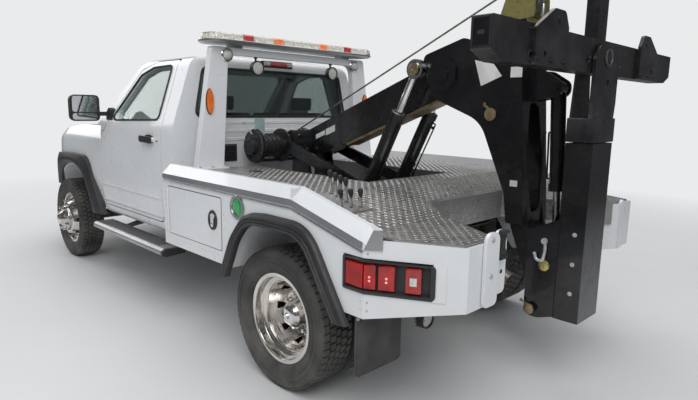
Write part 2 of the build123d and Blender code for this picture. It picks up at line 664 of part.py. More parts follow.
def deck():
    """Tread-plate deck with its pit for the boom base and the tapered notch at the tail."""
    top = [(y, z, 0) for y, z in deck_line(0)]
    low = [(y, z, 0) for y, z in reversed(deck_line(DECK_PLATE))]
    plate = prism_x(top + low, -DECK_EDGE_X, DECK_EDGE_X)
    plate = plate & prism_z(mirrored_outline([
        (DECK_EDGE_X, BODY_FRONT_Y, 0), (DECK_EDGE_X, 4470, 0), (TAIL_OUTER_X, 4740, 0),
        (TAIL_INNER_X + 12, 4740, 0)]), 900, 1200)
    notch = mirrored_outline([(NOTCH_HALF, NOTCH_FRONT_Y, 0), (TAIL_INNER_X + 15, 4800, 0)])
    skirt = mirrored_outline([(NOTCH_HALF + 7, NOTCH_FRONT_Y - 6, 0), (TAIL_INNER_X + 22, 4800, 0)])
    plate -= prism_z(notch, 500, 1300)
    plate -= block(-PIT_HALF, PIT_HALF, 2300, PIT_REAR_Y, 900, 1300)
    wall = prism_z(skirt, 860, 1040) - prism_z(notch, 800, 1300)
    wall = wall & prism_x([(4000, 860, 0), (4740, 860, 0), (4740, DECK_LOW_Z - 4, 0),
                           (DECK_FLAT_Y, DECK_LOW_Z - 4, 0), (4000, 1070, 0)], -800, 800)
    plate += wall
    for side in (1, -1):
        lip = block(PIT_HALF, PIT_HALF + 8, BODY_FRONT_Y, PIT_REAR_Y, 832, DECK_Z - 4)
        plate += lip if side > 0 else flip(lip)
    plate += block(-PIT_HALF - 8, PIT_HALF + 8, PIT_REAR_Y, PIT_REAR_Y + 8, 832, DECK_Z - 4)
    plate -= Pos(640, 2745, DECK_Z) * scale(Cylinder(55, 60), (0.7, 1.3, 1))
    keep("deck", plate)


def side_rails():
    """Folded rail along each upper edge, with its sloping rear stretch and end cap."""
    for side in (1, -1):
        top = [(y, z, 0) for y, z in ((BODY_FRONT_Y, 1170), (DECK_BREAK_Y, 1170), (4352, 1042))]
        low = [(y, z, 0) for y, z in ((4352, 947), (DECK_BREAK_Y, 1072), (BODY_FRONT_Y, 1078))]
        rail = prism_x(top + low, DECK_EDGE_X + 0.2, BODY_HALF + 6)
        rail -= prism_x(
            [(2300, DECK_Z - 7, 0), (DECK_BREAK_Y, DECK_Z - 7, 0), (DECK_FLAT_Y, DECK_LOW_Z - 7, 0),
             (4500, DECK_LOW_Z - 7, 0), (4500, 900, 0), (2300, 900, 0)], 1000, BODY_HALF + 0.2)
        for y0, y1, z0, z1 in ((2300, DECK_BREAK_Y, 1170, 1170), (DECK_BREAK_Y, 4500, 1170, 1005)):
            run = Plane(origin=(BODY_HALF + 6, y0, z0 - 60), x_dir=(-1, 0, 0),
                        z_dir=(0, y1 - y0, z1 - z0))
            wedge = extrude(run * outline([(-40, -30, 0), (0, 0, 0), (62, 60, 0), (62, 140, 0),
                                           (-40, 140, 0)]), hypot(y1 - y0, z1 - z0),
                            dir=(0, y1 - y0, z1 - z0))
            rail -= wedge
        keep("side_rails", rail if side > 0 else flip(rail))


def rear_fenders():
    """Ribbed dark arches over the rear wheels."""
    for side in (1, -1):
        band = prism_x(ARCH_OUTER, BODY_HALF + 0.3, BODY_HALF + 42)
        band -= prism_x(ARCH_INNER, 1000, 1300)
        band = band & block(1000, 1400, 3000, 4400, 558, 1100)
        keep("arch_flares", band if side > 0 else flip(band))


def tool_doors():
    """Side locker doors with their T-handle latch dish."""
    face = prism_x([(2487, 704, 10), (3161, 704, 10), (3161, 1026, 10), (2487, 1026, 10)],
                   BODY_HALF - SKIN, BODY_HALF + 3)
    face -= prism_x([(2530, 745, 14), (3118, 745, 14), (3118, 985, 14), (2530, 985, 14)],
                    BODY_HALF - SKIN - 2, BODY_HALF - 12)
    dish = Pos(BODY_HALF + 2, 3065, 876) * Rot(0, 90, 0) * scale(Cylinder(50, 8), (1.25, 0.85, 1))
    face += dish
    face += rod_z(7, BODY_HALF + 9, 2492, 730, 1000)
    for name, side in (("left", 1), ("right", -1)):
        keep("toolbox_door_" + name, face if side > 0 else flip(face))


def pylon():
    front_y, back_y, foot_z = BODY_FRONT_Y - 100, BODY_FRONT_Y - 0.3, 960
    outer = [(-930, foot_z, 0), (-930, DECK_Z, 60), (-786, 2005, 30), (786, 2005, 30),
             (930, DECK_Z, 60), (930, foot_z, 0)]
    inner = [(700, foot_z, 0), (700, DECK_Z, 60), (640, 1898, 110), (-640, 1898, 110),
             (-700, DECK_Z, 60), (-700, foot_z, 0)]
    frame = prism_y(outer + inner, front_y, back_y)
    for side in (1, -1):
        foot = block(690, 940, back_y - 20, back_y + 60, DECK_Z + 0.2, DECK_Z + 12)
        frame += foot if side > 0 else flip(foot)
    keep("light_pylon", frame)
    for side in (1, -1):
        lamp = rod_y(56, side * 388, 2325, 2425, 1832)
        lamp += block(side * 388 - 12, side * 388 + 12, 2355, 2395, 1870, 1897.8)
        keep("work_lamps", lamp)
    bar = prism_z([(-842, 2250, 120), (842, 2250, 120), (842, 2516, 120), (-842, 2516, 120)],
                  2026, 2050)
    for x in (-560, 560):
        bar += block(x - 40, x + 40, front_y, back_y, 2005.2, 2030)
    lens = prism_z([(-836, 2256, 114), (836, 2256, 114), (836, 2510, 114), (-836, 2510, 114)],
                   2050.2, 2105)
    lens = chamfer(lens.faces().sort_by(Axis.Z)[-1].edges(), 14)
    keep("light_bar", bar)
    keep("light_bar", lens)


def mudflaps():
    for side in (1, -1):
        flap = prism_y([(850, 300, 30), (1180, 300, 30), (1180, 617, 6), (850, 617, 6)], 4300, 4310)
        flap += block(850, 1160, 4310, 4335, 590, 617)
        lamp = rod_y(46, 815, 4560, 4640, 565)
        lamp += block(805, 825, 4590, 4610, 605, 617.8)
        keep("mudflaps", flap if side > 0 else flip(flap))
        keep("work_lamps", lamp if side > 0 else flip(lamp))


# Boom and lift

def boom_point(station, height):
    """A (y, z) point from its distance along the boom's top line and its height over it."""
    a = radians(BOOM_SLOPE)
    y0, z0 = 2480, 1358 + 0.388 * (2480 - 2560)
    return (y0 + station * cos(a) - height * sin(a), z0 + station * sin(a) + height * cos(a))


def boom():
    body = [boom_point(0, 0), boom_point(2130, 0), boom_point(2130, -150), boom_point(1650, -225),
            boom_point(480, -225), boom_point(0, -205)]
    beam = prism_x([(y, z, 12) for y, z in body], -BOOM_HALF, BOOM_HALF)
    cheek = [(3830, 1900, 40), (4130, 1990, 60), (4500, 1850, 30), (4573, 945, 12), (4466, 945, 12),
             (4446, 1110, 150), (4268, 1510, 200), (3905, 1652, 60)]
    arm = prism_x(cheek, ARM_IN, ARM_OUT)
    # each arm ends in a narrower foot plate that stands between the lugs of the wheel lift
    arm += prism_x([(4474, 1110, 20), (4556, 1110, 20), (4568, 955, 12), (4474, 955, 12)], FOOT_IN,
                   ARM_IN + 1)
    arm += prism_x([(4474, 1110, 20), (4556, 1110, 20), (4590, 930, 60), (4684, 760, 30),
                    (4686, 640, 60), (4708, 430, 45), (4600, 430, 45), (4592, 640, 60),
                    (4474, 930, 60)], FOOT_IN, FOOT_OUT)
    arm += flip(arm)
    flange = prism_x([(4491, 1845, 0), (4503, 1845, 0), (4574, 947, 0), (4562, 947, 0)], -ARM_OUT,
                     ARM_OUT)
    flange -= prism_y(mirrored_outline([(50, 1010, 30), (95, 1320, 250), (50, 1620, 30)]), 4400, 4600)
    spacer = Pos(-ARM_OUT - 12, *OCTAGON_CENTRE) * Rot(22.5, 0, 0) * extrude(
        Plane.YZ * RegularPolygon(OCTAGON_R, 8), 2 * ARM_OUT + 24)
    spacer += rod_x(46, -ARM_OUT - 20, ARM_OUT + 20, *OCTAGON_CENTRE)
    low_tie = rod_x(22, -ARM_IN - 2, ARM_IN + 2, 4512, 1010)
    for piece in (arm, flange, spacer, low_tie):
        beam += piece
    beam += rod_x(27, -LIFT_X - 32, LIFT_X + 32, *LIFT_EYE)
    beam += rod_x(33, -ARM_OUT - 8, ARM_OUT + 8, *ARM_EYE)
    for side in (1, -1):
        ear = prism_x([(4505, 1625, 0), (4505, 1800, 0), (4600, 1790, 60), (4700, 1730, 45),
                       (4700, 1655, 45), (4600, 1640, 60)], 42, 58)
        beam += ear if side > 0 else flip(ear)
    beam += rod_x(24, -66, 66, *FOLD_TOP)
    beam += rod_x(30, -ARM_OUT - 12, ARM_OUT + 12, *FOLD_PIN)
    tray = [boom_point(560, -225), boom_point(1560, -225), boom_point(1560, -240),
            boom_point(560, -240)]
    beam += prism_x([(a, b, 0) for a, b in tray], -62, 62)
    for side in (1, -1):
        lug = prism_x([(2540, 1130, 60), (2700, 1130, 60), (2720, 1330, 20), (2540, 1330, 20)],
                      BOOM_HALF - 10, BOOM_HALF + 18)
        beam += lug if side > 0 else flip(lug)
    beam -= rod_x(34 + PIN_CLEARANCE, -200, 200, *BOOM_PIVOT)
    keep("boom", beam)


def boom_head():
    y, z = HEAD_SHEAVE
    cheek = prism_x([(y - 130, z - 130, 20), (y + 90, z - 110, 30), (y + 80, z + 60, 70),
                     (y - 60, z + 80, 60)], BOOM_HALF + 0.3, BOOM_HALF + 14)
    head = cheek + flip(cheek)
    head += rod_x(22, -BOOM_HALF - 20, BOOM_HALF + 20, y, z)
    sheave = [(-24, 24, 0), (-24, 86, 4), (-14, 86, 2), (-6, 70, 4), (6, 70, 4), (14, 86, 2),
              (24, 86, 4), (24, 24, 0)]
    keep("boom_head", head + Pos(0, y, z) * turned_x(sheave, 0))


def winch():
    """Planetary winch: drum between its gear housings, with motor, tie bars and cradle plates."""
    y, z = WINCH_AXIS
    spans = [
        # radius, from x, to x: drum, housings, end discs, motor, brake
        (62, -120, 120), (78, -370, -120), (84, 125, 372), (WINCH_DISC_R, -380, -368),
        (WINCH_DISC_R, -130, -118), (WINCH_DISC_R, 118, 130), (WINCH_DISC_R, 368, 380),
        (56, -455, -380), (70, -395, -380), (64, 380, 420), (38, 420, 436),
    ]
    body = None
    for radius, x0, x1 in spans:
        step = rod_x(radius, x0, x1, y, z)
        body = step if body is None else body + step
    for dy, dz in ((-84, 84), (-118, 0), (-84, -84), (0, -118)):
        body += rod_x(12, -374, 374, y + dy, z + dz)
    cradle = prism_x([(y - 40, z - 80, 40), (y + 170, z - 80, 12), (y + 170, z + 128, 12),
                      (y + 90, z + 128, 40), (y - 40, z + 60, 40)], BOOM_HALF + 0.2, BOOM_HALF + 20)
    for piece in both_sides(cradle):
        body += piece
    keep("winch", body)


def winch_rope():
    """Rope held tight from the winch, past its guide, over the head sheave and down to the hook."""
    y, z = HEAD_SHEAVE
    track = [(2362, 1353), (4404, 2282), (4533, 2283), (4533, 2040)]
    path = FilletPolyline(*[(0, a, b) for a, b in track], radius=[70, 80])
    section = Plane(origin=path @ 0, z_dir=path % 0) * Circle(6)
    keep("winch_rope", sweep(section, path))


def boom_mast():
    """Base frame on the chassis: uprights at the boom pivot, raking struts and cylinder feet."""
    base_z = RAIL_TOP_HIGH + 0.3
    foot_y = LIFT_FOOT[0]
    mast = rod_x(34, -256, 256, *BOOM_PIVOT)
    mast += block(-PIT_HALF + 4, PIT_HALF - 4, 2500, 2790, base_z, base_z + 24)
    mast += block(-PIT_HALF + 4, PIT_HALF - 4, foot_y - 130, foot_y + 90, base_z, base_z + 24)
    upright = prism_x([(2500, base_z, 0), (2790, base_z, 0), (2700, 1290, 60), (2548, 1290, 60)],
                      110, 134)
    strut = prism_x([(2560, 1240, 20), (2620, 1318, 30), (foot_y + 72, 1068, 20),
                     (foot_y + 72, base_z, 0), (foot_y - 90, base_z, 0), (foot_y - 60, 1020, 60)],
                    230, 254)
    bracket = prism_x([(foot_y - 70, base_z, 0), (foot_y + 70, base_z, 0), (foot_y + 40, 1005, 40),
                       (foot_y - 40, 1005, 40)], 94, 114)
    pin = rod_x(30, 90, 256, *LIFT_FOOT)
    for piece in (upright, strut, bracket, pin):
        mast += piece
        mast += flip(piece)
    keep("boom_mast", mast)


def control_levers():
    """Valve levers standing in the slots of their raised plate on the sloping deck."""
    plate_front, plate_rear = 3842, 4096
    sides = [(y, deck_height(y) + rise, 0)
             for y, rise in ((plate_front, 0.2), (plate_rear, 0.2), (plate_rear, 6), (plate_front, 6))]
    plate = prism_x(sides, 858, 1062)
    spots = [(930, 3868), (930, 3908), (930, 3948), (930, 3988), (1020, 4040), (960, 4052),
             (900, 4064)]
    levers = []
    for x, y in spots:
        z = deck_height(y)
        plate -= block(x - 9, x + 9, y - 17, y + 12, z - 60, z + 60)
        lever = rod_between(6, (x, y, z + 3), (x, y - 20, z + 160))
        levers.append(lever + Pos(x, y - 21, z + 172) * Sphere(21))
    keep("control_levers", plate, *levers)


def cylinder_parts(foot, eye, barrel, bore, x0, x1, foot_pin, eye_hole):
    """Barrel turning on the foot pin and rod reaching for the eye pin, between x0 and x1."""
    mid = (x0 + x1) / 2
    length = hypot(eye[0] - foot[0], eye[1] - foot[1])
    dy, dz = (eye[0] - foot[0]) / length, (eye[1] - foot[1]) / length

    def at(distance):
        return (mid, foot[0] + dy * distance, foot[1] + dz * distance)

    tube = rod_between(bore, at(foot_pin + 6), at(barrel))
    tube += rod_between(bore + 6, at(barrel - 40), at(barrel))
    tube += rod_x(foot_pin + 16, x0, x1, *foot)
    tube -= rod_between(bore * 0.62, at(foot_pin + 30), at(barrel + 5))
    tube -= rod_x(foot_pin + PIN_CLEARANCE, x0 - 5, x1 + 5, *foot)
    stem = rod_between(bore * 0.5, at(barrel - 230), at(length - eye_hole))
    stem += rod_x(eye_hole + 16, x0, x1, *eye)
    stem -= rod_x(eye_hole, x0 - 5, x1 + 5, *eye)
    return tube, stem


def lift_cylinders():
    tube, stem = cylinder_parts(LIFT_FOOT, LIFT_EYE, LIFT_BARREL, 46, LIFT_X - 24, LIFT_X + 24,
                                30, 45)
    keep("lift_barrels", *both_sides(tube))
    keep("lift_rods", *both_sides(stem))


def fold_cylinder():
    tube, stem = cylinder_parts(FOLD_TOP, FOLD_FOOT, FOLD_BARREL, 40, -34, 34, 24, 22)
    stem += rod_x(22.5, -77, 77, *FOLD_FOOT)
    keep("fold_barrel", tube)
    keep("fold_rod", stem)


def stinger():
    """Outer sleeve with its lugs, and the inner stage with its swivel head."""
    front, rear = STINGER_FRONT_Y, REAR_END_Y
    sleeve = block(-STINGER_HALF, STINGER_HALF, front, rear, STINGER_FOOT_Z, STINGER_TOP_Z)
    sleeve -= block(-INNER_HALF - 2, INNER_HALF + 2, front + 22, rear - 20, 560, 1500)
    lug = prism_x([(4608, 440, 45), (4690, 440, 45), (front + 5, 468, 0), (front + 5, 1009, 0),
                   (4601, 930, 30)], LUG_IN, LUG_OUT)
    lug -= rod_x(30 + PIN_CLEARANCE, -200, 200, *FOLD_PIN)
    stub = rod_x(20, FOOT_IN, LUG_OUT + 10, *FOLD_FOOT)
    for shape in (lug, stub):
        for piece in both_sides(shape):
            sleeve += piece
    keep("stinger_sleeve", sleeve)
    inner = block(-INNER_HALF, INNER_HALF, front + 24, rear - 22, 640, HEAD_TOP_Z - 4)
    inner -= block(-INNER_HALF + 12, INNER_HALF - 12, front + 36, rear - 34, 600, HEAD_TOP_Z - 60)
    inner += prism_y([(-COLLAR_HALF, STINGER_TOP_Z + 5, 8), (COLLAR_HALF, STINGER_TOP_Z + 5, 8),
                      (COLLAR_HALF, HEAD_TOP_Z, 8), (-COLLAR_HALF, HEAD_TOP_Z, 8)], front + 2, rear)
    near, far = CROSSBAR_BACK_Y + CHEEK_GAP, CROSSBAR_FRONT_Y - CHEEK_GAP
    inner += prism_y([(-150, 1620, 30), (-COLLAR_HALF, HEAD_TOP_Z - 5, 0),
                      (COLLAR_HALF, HEAD_TOP_Z - 5, 0), (150, 1620, 30), (150, 1840, 40),
                      (90, 1908, 40), (-90, 1908, 40), (-150, 1840, 40)], near, near + 16)
    inner += prism_y([(-110, HEAD_TOP_Z - 5, 0), (110, HEAD_TOP_Z - 5, 0), (64, 1908, 50),
                      (-64, 1908, 50)], far - 13, far)
    inner += rod_y(SWIVEL_PIN_R, 0, far - 15, near + 24, SWIVEL_Z)
    inner -= rod_y(17, -18, near - 40, near + 40, 1723)
    keep("stinger_inner", inner)


def crossbar():
    """Crossbar with its two strap ears, slots and the upright receiver tube."""
    low, top, back = CROSSBAR_LOW_Z, CROSSBAR_TOP_Z, CROSSBAR_BACK_Y
    half = [(CROSSBAR_HALF - 95, low, 8), (CROSSBAR_HALF, low + 40, 8), (CROSSBAR_HALF, top, 8)]
    bar = prism_y(mirrored_outline(half), CROSSBAR_FRONT_Y, back)
    bar -= block(-CROSSBAR_HALF - 10, -CROSSBAR_HALF + 150, CROSSBAR_FRONT_Y + 10, back - 10,
                 low + 52, top - 12)
    bar -= block(CROSSBAR_HALF - 150, CROSSBAR_HALF + 10, CROSSBAR_FRONT_Y + 10, back - 10,
                 low + 52, top - 12)
    plate = prism_y([(470, low, 12), (770, low, 12), (770, 1915, 12), (610, 2007, 30),
                     (510, 2007, 30), (470, 1940, 12)], back, back + 18)
    plate -= rod_y(17, 560, 4700, 5000, 1965)
    for piece in both_sides(plate):
        bar += piece
    for x, z in ((205, 1822), (773, 1802), (679, 1813)):
        for slot in both_sides(rod_y(13, x, back - 30, back + 40, z)):
            bar -= slot
    bar -= rod_y(SWIVEL_PIN_R + TURN_CLEARANCE, 0, 4700, 5000, SWIVEL_Z)
    tube = block(-55, 55, 4792, 4858, top - 20, RECEIVER_TOP_Z)
    tube -= block(-47, 47, 4800, 4850, top + 60, RECEIVER_TOP_Z + 10)
    keep("crossbar", bar + tube)


def build_all():
    wheels()
    axles()
    springs()
    chassis()
    powertrain()
    cab()
    doors()
    cabin_inside()
    nose()
    flares()
    running_boards()
    body_sides()
    tail_lamps()
    deck()
    side_rails()
    rear_fenders()
    tool_doors()
    pylon()
    mudflaps()
    boom()
    boom_head()
    winch()
    winch_rope()
    boom_mast()
    control_levers()
    lift_cylinders()
    fold_cylinder()
    stinger()
    crossbar()


build_all()
os.makedirs("parts", exist_ok=True)
for node, solids in parts.items():
    moved = [Pos(0, -ORIGIN_Y, 0) * solid for solid in solids]
    for solid in moved:
        solid.label = node
    shape = moved[0] if len(moved) == 1 else Compound(children=moved)
    shape.label = node
    export_step(shape, "parts/" + node + ".step")
    print(node, len(moved))
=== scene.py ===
import bpy
import bmesh
from math import asin, cos, hypot, pi, radians, sin, tan
from mathutils import Matrix, Vector


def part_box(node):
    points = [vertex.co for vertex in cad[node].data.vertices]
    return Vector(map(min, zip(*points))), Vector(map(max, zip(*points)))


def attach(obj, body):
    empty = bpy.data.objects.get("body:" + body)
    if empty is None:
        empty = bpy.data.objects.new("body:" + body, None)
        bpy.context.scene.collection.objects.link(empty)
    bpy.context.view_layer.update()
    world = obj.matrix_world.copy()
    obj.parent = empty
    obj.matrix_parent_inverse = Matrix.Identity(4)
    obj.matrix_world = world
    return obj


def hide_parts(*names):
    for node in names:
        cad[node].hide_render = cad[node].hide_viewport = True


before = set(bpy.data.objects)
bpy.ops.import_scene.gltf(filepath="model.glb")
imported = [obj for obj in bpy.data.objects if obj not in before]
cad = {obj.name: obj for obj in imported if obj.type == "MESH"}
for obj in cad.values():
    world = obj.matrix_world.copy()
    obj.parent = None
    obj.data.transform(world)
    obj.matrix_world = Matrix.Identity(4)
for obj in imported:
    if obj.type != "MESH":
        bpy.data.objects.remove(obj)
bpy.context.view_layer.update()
print("frame loaded with", len(cad), "nodes")

# Places below are metres from the front axle on the ground: x to the truck's left, y to its rear, z up
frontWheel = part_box("wheel_front_left")
axleY = (frontWheel[0].y + frontWheel[1].y) / 2
wheelbase = 3.67


def at(x, y, z):
    return Vector((x, y + axleY, z))


# Shapes are added to one mesh at a time, and a mesh becomes a piece at the end

def skin(mesh, rings, closed=False):
    loops = [[mesh.verts.new(point) for point in ring] for ring in rings]
    pairs = list(zip(loops, loops[1:]))
    if closed:
        pairs.append((loops[-1], loops[0]))
    for first, second in pairs:
        count = len(first)
        for i in range(count):
            j = (i + 1) % count
            mesh.faces.new((first[i], first[j], second[j], second[i]))
    if not closed:
        mesh.faces.new(loops[0][::-1])
        mesh.faces.new(loops[-1])


def addBox(mesh, low, high):
    corners = [(low[0], low[1]), (high[0], low[1]), (high[0], high[1]), (low[0], high[1])]
    skin(mesh, [[at(x, y, z) for x, y in corners] for z in (low[2], high[2])])


def rounded(corners, steps=5):
    # corners are (u, v, radius); each one becomes an arc
    points = []
    for i, (u, v, radius) in enumerate(corners):
        here = Vector((u, v))
        before = Vector(corners[i - 1][:2]) - here
        after = Vector(corners[(i + 1) % len(corners)][:2]) - here
        if radius == 0:
            points.append(here)
            continue
        half = before.angle(after) / 2
        cut = min(radius / tan(half), before.length * 0.49, after.length * 0.49)
        start = here + before.normalized() * cut
        end = here + after.normalized() * cut
        for step in range(steps + 1):
            t = step / steps
            points.append(start * (1 - t) ** 2 + here * 2 * t * (1 - t) + end * t ** 2)
    return points


def plate(u0, v0, u1, v1, radius, topRadius=None, steps=5):
    # a rectangle with round corners; the upper two may have a radius of their own
    top = radius if topRadius is None else topRadius
    return rounded([(u0, v0, radius), (u1, v0, radius), (u1, v1, top), (u0, v1, top)], steps)


def ellipse(y, z, halfWide, halfTall, count=40):
    turns = [2 * pi * i / count for i in range(count)]
    return [(y + halfWide * cos(a), z + halfTall * sin(a)) for a in turns]


def addPrism(mesh, outline, axis, low, high):
    # the outline lies across the named axis: (y, z) for x, (x, z) for y, (x, y) for z
    rings = []
    for depth in (low, high):
        if axis == "x":
            rings.append([at(depth, u, v) for u, v in outline])
        elif axis == "y":
            rings.append([at(u, depth, v) for u, v in outline])
        else:
            rings.append([at(u, v, depth) for u, v in outline])
    skin(mesh, rings)


def addTurned(mesh, profile, centre, axis=(1, 0, 0), steps=48):
    # profile is (distance along the axis, radius), a closed section turned right round
    along = Vector(axis).normalized()
    across = along.orthogonal().normalized()
    third = along.cross(across)
    rings = []
    for step in range(steps):
        turn = 2 * pi * step / steps
        out = across * cos(turn) + third * sin(turn)
        rings.append([centre + along * offset + out * radius for offset, radius in profile])
    skin(mesh, rings, closed=True)


def addRod(mesh, start, end, radius, sides=20, endRadius=None):
    along = (end - start).normalized()
    across = along.orthogonal().normalized()
    third = along.cross(across)
    rings = []
    for place, size in ((start, radius), (end, endRadius or radius)):
        turns = [2 * pi * i / sides for i in range(sides)]
        rings.append([place + (across * cos(a) + third * sin(a)) * size for a in turns])
    skin(mesh, rings)


def bentPath(corners, bend, steps=6):
    # straight runs joined by round bends
    points = [corners[0]]
    for before, here, after in zip(corners, corners[1:], corners[2:]):
        start = here + (before - here).normalized() * bend
        end = here + (after - here).normalized() * bend
        for step in range(steps + 1):
            t = step / steps
            points.append(start * (1 - t) ** 2 + here * 2 * t * (1 - t) + end * t ** 2)
    return points + [corners[-1]]


def addTube(mesh, points, radius, sides=12):
    across = (points[1] - points[0]).orthogonal().normalized()
    rings = []
    for i, point in enumerate(points):
        along = (points[min(i + 1, len(points) - 1)] - points[max(i - 1, 0)]).normalized()
        across = (across - along * across.dot(along)).normalized()
        third = along.cross(across)
        turns = [2 * pi * k / sides for k in range(sides)]
        rings.append([point + (across * cos(a) + third * sin(a)) * radius for a in turns])
    skin(mesh, rings)


def addLoop(mesh, points, radius, sides):
    addTube(mesh, points + [points[0]], radius, sides)


def addBolt(mesh, place, normal, radius=0.009, height=0.007):
    # a washer with a hexagon head on it
    out = Vector(normal).normalized()
    addRod(mesh, place, place + out * 0.002, radius * 1.5, 18)
    addRod(mesh, place + out * 0.002, place + out * (0.002 + height), radius, 6)


def addRivet(mesh, place, normal, radius=0.006):
    out = Vector(normal).normalized()
    profile = [(0, 0), (0, radius), (radius * 0.35, radius * 0.8), (radius * 0.55, 0)]
    addTurned(mesh, profile, place, out, 10)


def piece(name, mesh, finish, body="chassis", bevel=0, angle=32, slot=None, standsFor=()):
    bmesh.ops.remove_doubles(mesh, verts=mesh.verts, dist=1e-6)
    bmesh.ops.dissolve_degenerate(mesh, edges=mesh.edges, dist=1e-7)
    bmesh.ops.recalc_face_normals(mesh, faces=mesh.faces)
    for face in mesh.faces:
        face.smooth = True
    if not bevel:
        for edge in mesh.edges:
            edge.smooth = edge.calc_face_angle(0) < radians(angle)
    data = bpy.data.meshes.new(name)
    mesh.to_mesh(data)
    mesh.free()
    data.materials.append(finish)
    made = bpy.data.objects.new(name, data)
    bpy.context.scene.collection.objects.link(made)
    if bevel:
        edges = made.modifiers.new("edges", "BEVEL")
        edges.width = bevel
        edges.segments = 2
        edges.limit_method = "ANGLE"
        edges.angle_limit = radians(angle)
        edges.harden_normals = True
    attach(made, body)
    if standsFor:
        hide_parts(*standsFor)
    return made


def bothSides(make):
    for side, sideName in ((1, "left"), (-1, "right")):
        make(side, sideName)


# Finishes: each has its own tones, patches, grain, gloss and dust

def addNode(tree, kind, **values):
    node = tree.nodes.new("ShaderNode" + kind)
    for name, value in values.items():
        setattr(node, name, value)
    return node


def noise(tree, place, scale, detail=4, stretch=None):
    if stretch:
        turned = addNode(tree, "Mapping")
        turned.inputs["Scale"].default_value = stretch
        tree.links.new(place, turned.inputs["Vector"])
        place = turned.outputs["Vector"]
    node = addNode(tree, "TexNoise")
    node.inputs["Scale"].default_value = scale
    node.inputs["Detail"].default_value = detail
    tree.links.new(place, node.inputs["Vector"])
    return node.outputs["Fac"]


def spread(tree, value, low, high, toLow, toHigh):
    node = addNode(tree, "MapRange")
    for name, number in (("From Min", low), ("From Max", high), ("To Min", toLow), ("To Max", toHigh)):
        node.inputs[name].default_value = number
    tree.links.new(value, node.inputs["Value"])
    return node.outputs["Result"]


def mixColour(tree, share, first, second):
    node = addNode(tree, "Mix", data_type="RGBA")
    tree.links.new(share, node.inputs[0])
    for socket, colour in ((node.inputs[6], first), (node.inputs[7], second)):
        if isinstance(colour, tuple):
            socket.default_value = (*colour, 1)
        else:
            tree.links.new(colour, socket)
    return node.outputs[2]


def math(tree, kind, first, second):
    node = addNode(tree, "Math", operation=kind)
    for socket, value in ((node.inputs[0], first), (node.inputs[1], second)):
        if isinstance(value, (int, float)):
            socket.default_value = value
        else:
            tree.links.new(value, socket)
    return node.outputs[0]


def finish(name, colour, worn, patch=3, contrast=(0.4, 0.65), rough=0.5, uneven=0.08, metal=0, coat=0,
           grain=300, depth=0.0002, dust=0, stretch=None, ribs=None, glow=0, clear=0):
    made = bpy.data.materials.new(name)
    made.use_nodes = True
    tree = made.node_tree
    shader = tree.nodes["Principled BSDF"]
    place = addNode(tree, "TexCoord").outputs["Object"]
    tone = mixColour(tree, spread(tree, noise(tree, place, patch), *contrast, 0, 1), colour, worn)
    if dust:
        apart = addNode(tree, "SeparateXYZ")
        tree.links.new(place, apart.inputs[0])
        low = spread(tree, apart.outputs["Z"], 0.25, 1.15, dust, dust * 0.12)
        share = math(tree, "MULTIPLY", low, spread(tree, noise(tree, place, 7), 0.3, 0.7, 0.3, 1.6))
        tone = mixColour(tree, share, tone, (0.36, 0.34, 0.31))
    tree.links.new(tone, shader.inputs["Base Color"])
    smear = noise(tree, place, patch * 6, 5, stretch)
    tree.links.new(spread(tree, smear, 0.3, 0.7, max(0.02, rough - uneven), rough + uneven),
                   shader.inputs["Roughness"])
    shader.inputs["Metallic"].default_value = metal
    shader.inputs["Coat Weight"].default_value = coat
    shader.inputs["Coat Roughness"].default_value = 0.06
    if clear:
        shader.inputs["Transmission Weight"].default_value = clear
    if glow:
        shader.inputs["Emission Strength"].default_value = glow
        tree.links.new(tone, shader.inputs["Emission Color"])
    height = noise(tree, place, grain, 3, stretch)
    if ribs:
        wave = addNode(tree, "TexWave", bands_direction=ribs[0], wave_profile="SIN")
        wave.inputs["Scale"].default_value = ribs[1]
        tree.links.new(place, wave.inputs["Vector"])
        height = math(tree, "ADD", height, math(tree, "MULTIPLY", wave.outputs["Fac"], ribs[2]))
    bump = addNode(tree, "Bump")
    bump.inputs["Distance"].default_value = depth
    tree.links.new(height, bump.inputs["Height"])
    tree.links.new(bump.outputs["Normal"], shader.inputs["Normal"])
    return made


def glassFinish(name, colour, rough):
    # shadow rays pass through, so that what stands behind is lit
    made = finish(name, colour, colour, rough=rough, uneven=0.01, depth=0.00002, clear=1)
    tree = made.node_tree
    lit = addNode(tree, "BsdfTransparent")
    lit.inputs["Color"].default_value = (*colour, 1)
    path = addNode(tree, "LightPath")
    both = addNode(tree, "MixShader")
    tree.links.new(path.outputs["Is Shadow Ray"], both.inputs[0])
    tree.links.new(tree.nodes["Principled BSDF"].outputs[0], both.inputs[1])
    tree.links.new(lit.outputs[0], both.inputs[2])
    tree.links.new(both.outputs[0], tree.nodes["Material Output"].inputs["Surface"])
    return made


whitePaint = finish("whitePaint", (0.74, 0.755, 0.77), (0.7, 0.715, 0.73), patch=1.5, rough=0.3,
                    uneven=0.04, coat=0.6, grain=420, depth=0.00006, dust=0.16)
stripeGrey = finish("stripeGrey", (0.19, 0.195, 0.21), (0.15, 0.155, 0.17), rough=0.38, coat=0.3, dust=0.1)
brightTrim = finish("brightTrim", (0.62, 0.62, 0.62), (0.5, 0.5, 0.5), rough=0.3, metal=0.9,
                    stretch=(30, 1, 30))
boomBlack = finish("boomBlack", (0.005, 0.005, 0.006), (0.011, 0.011, 0.012), rough=0.24, uneven=0.1,
                   coat=0.3, grain=180, depth=0.00015)
scuffedBlack = finish("scuffedBlack", (0.01, 0.01, 0.011), (0.03, 0.03, 0.032), patch=5, rough=0.33,
                      uneven=0.14, coat=0.2, grain=120, depth=0.0003)
chassisBlack = finish("chassisBlack", (0.012, 0.012, 0.012), (0.03, 0.028, 0.026), patch=4, rough=0.6,
                      dust=0.35, grain=90, depth=0.0005)
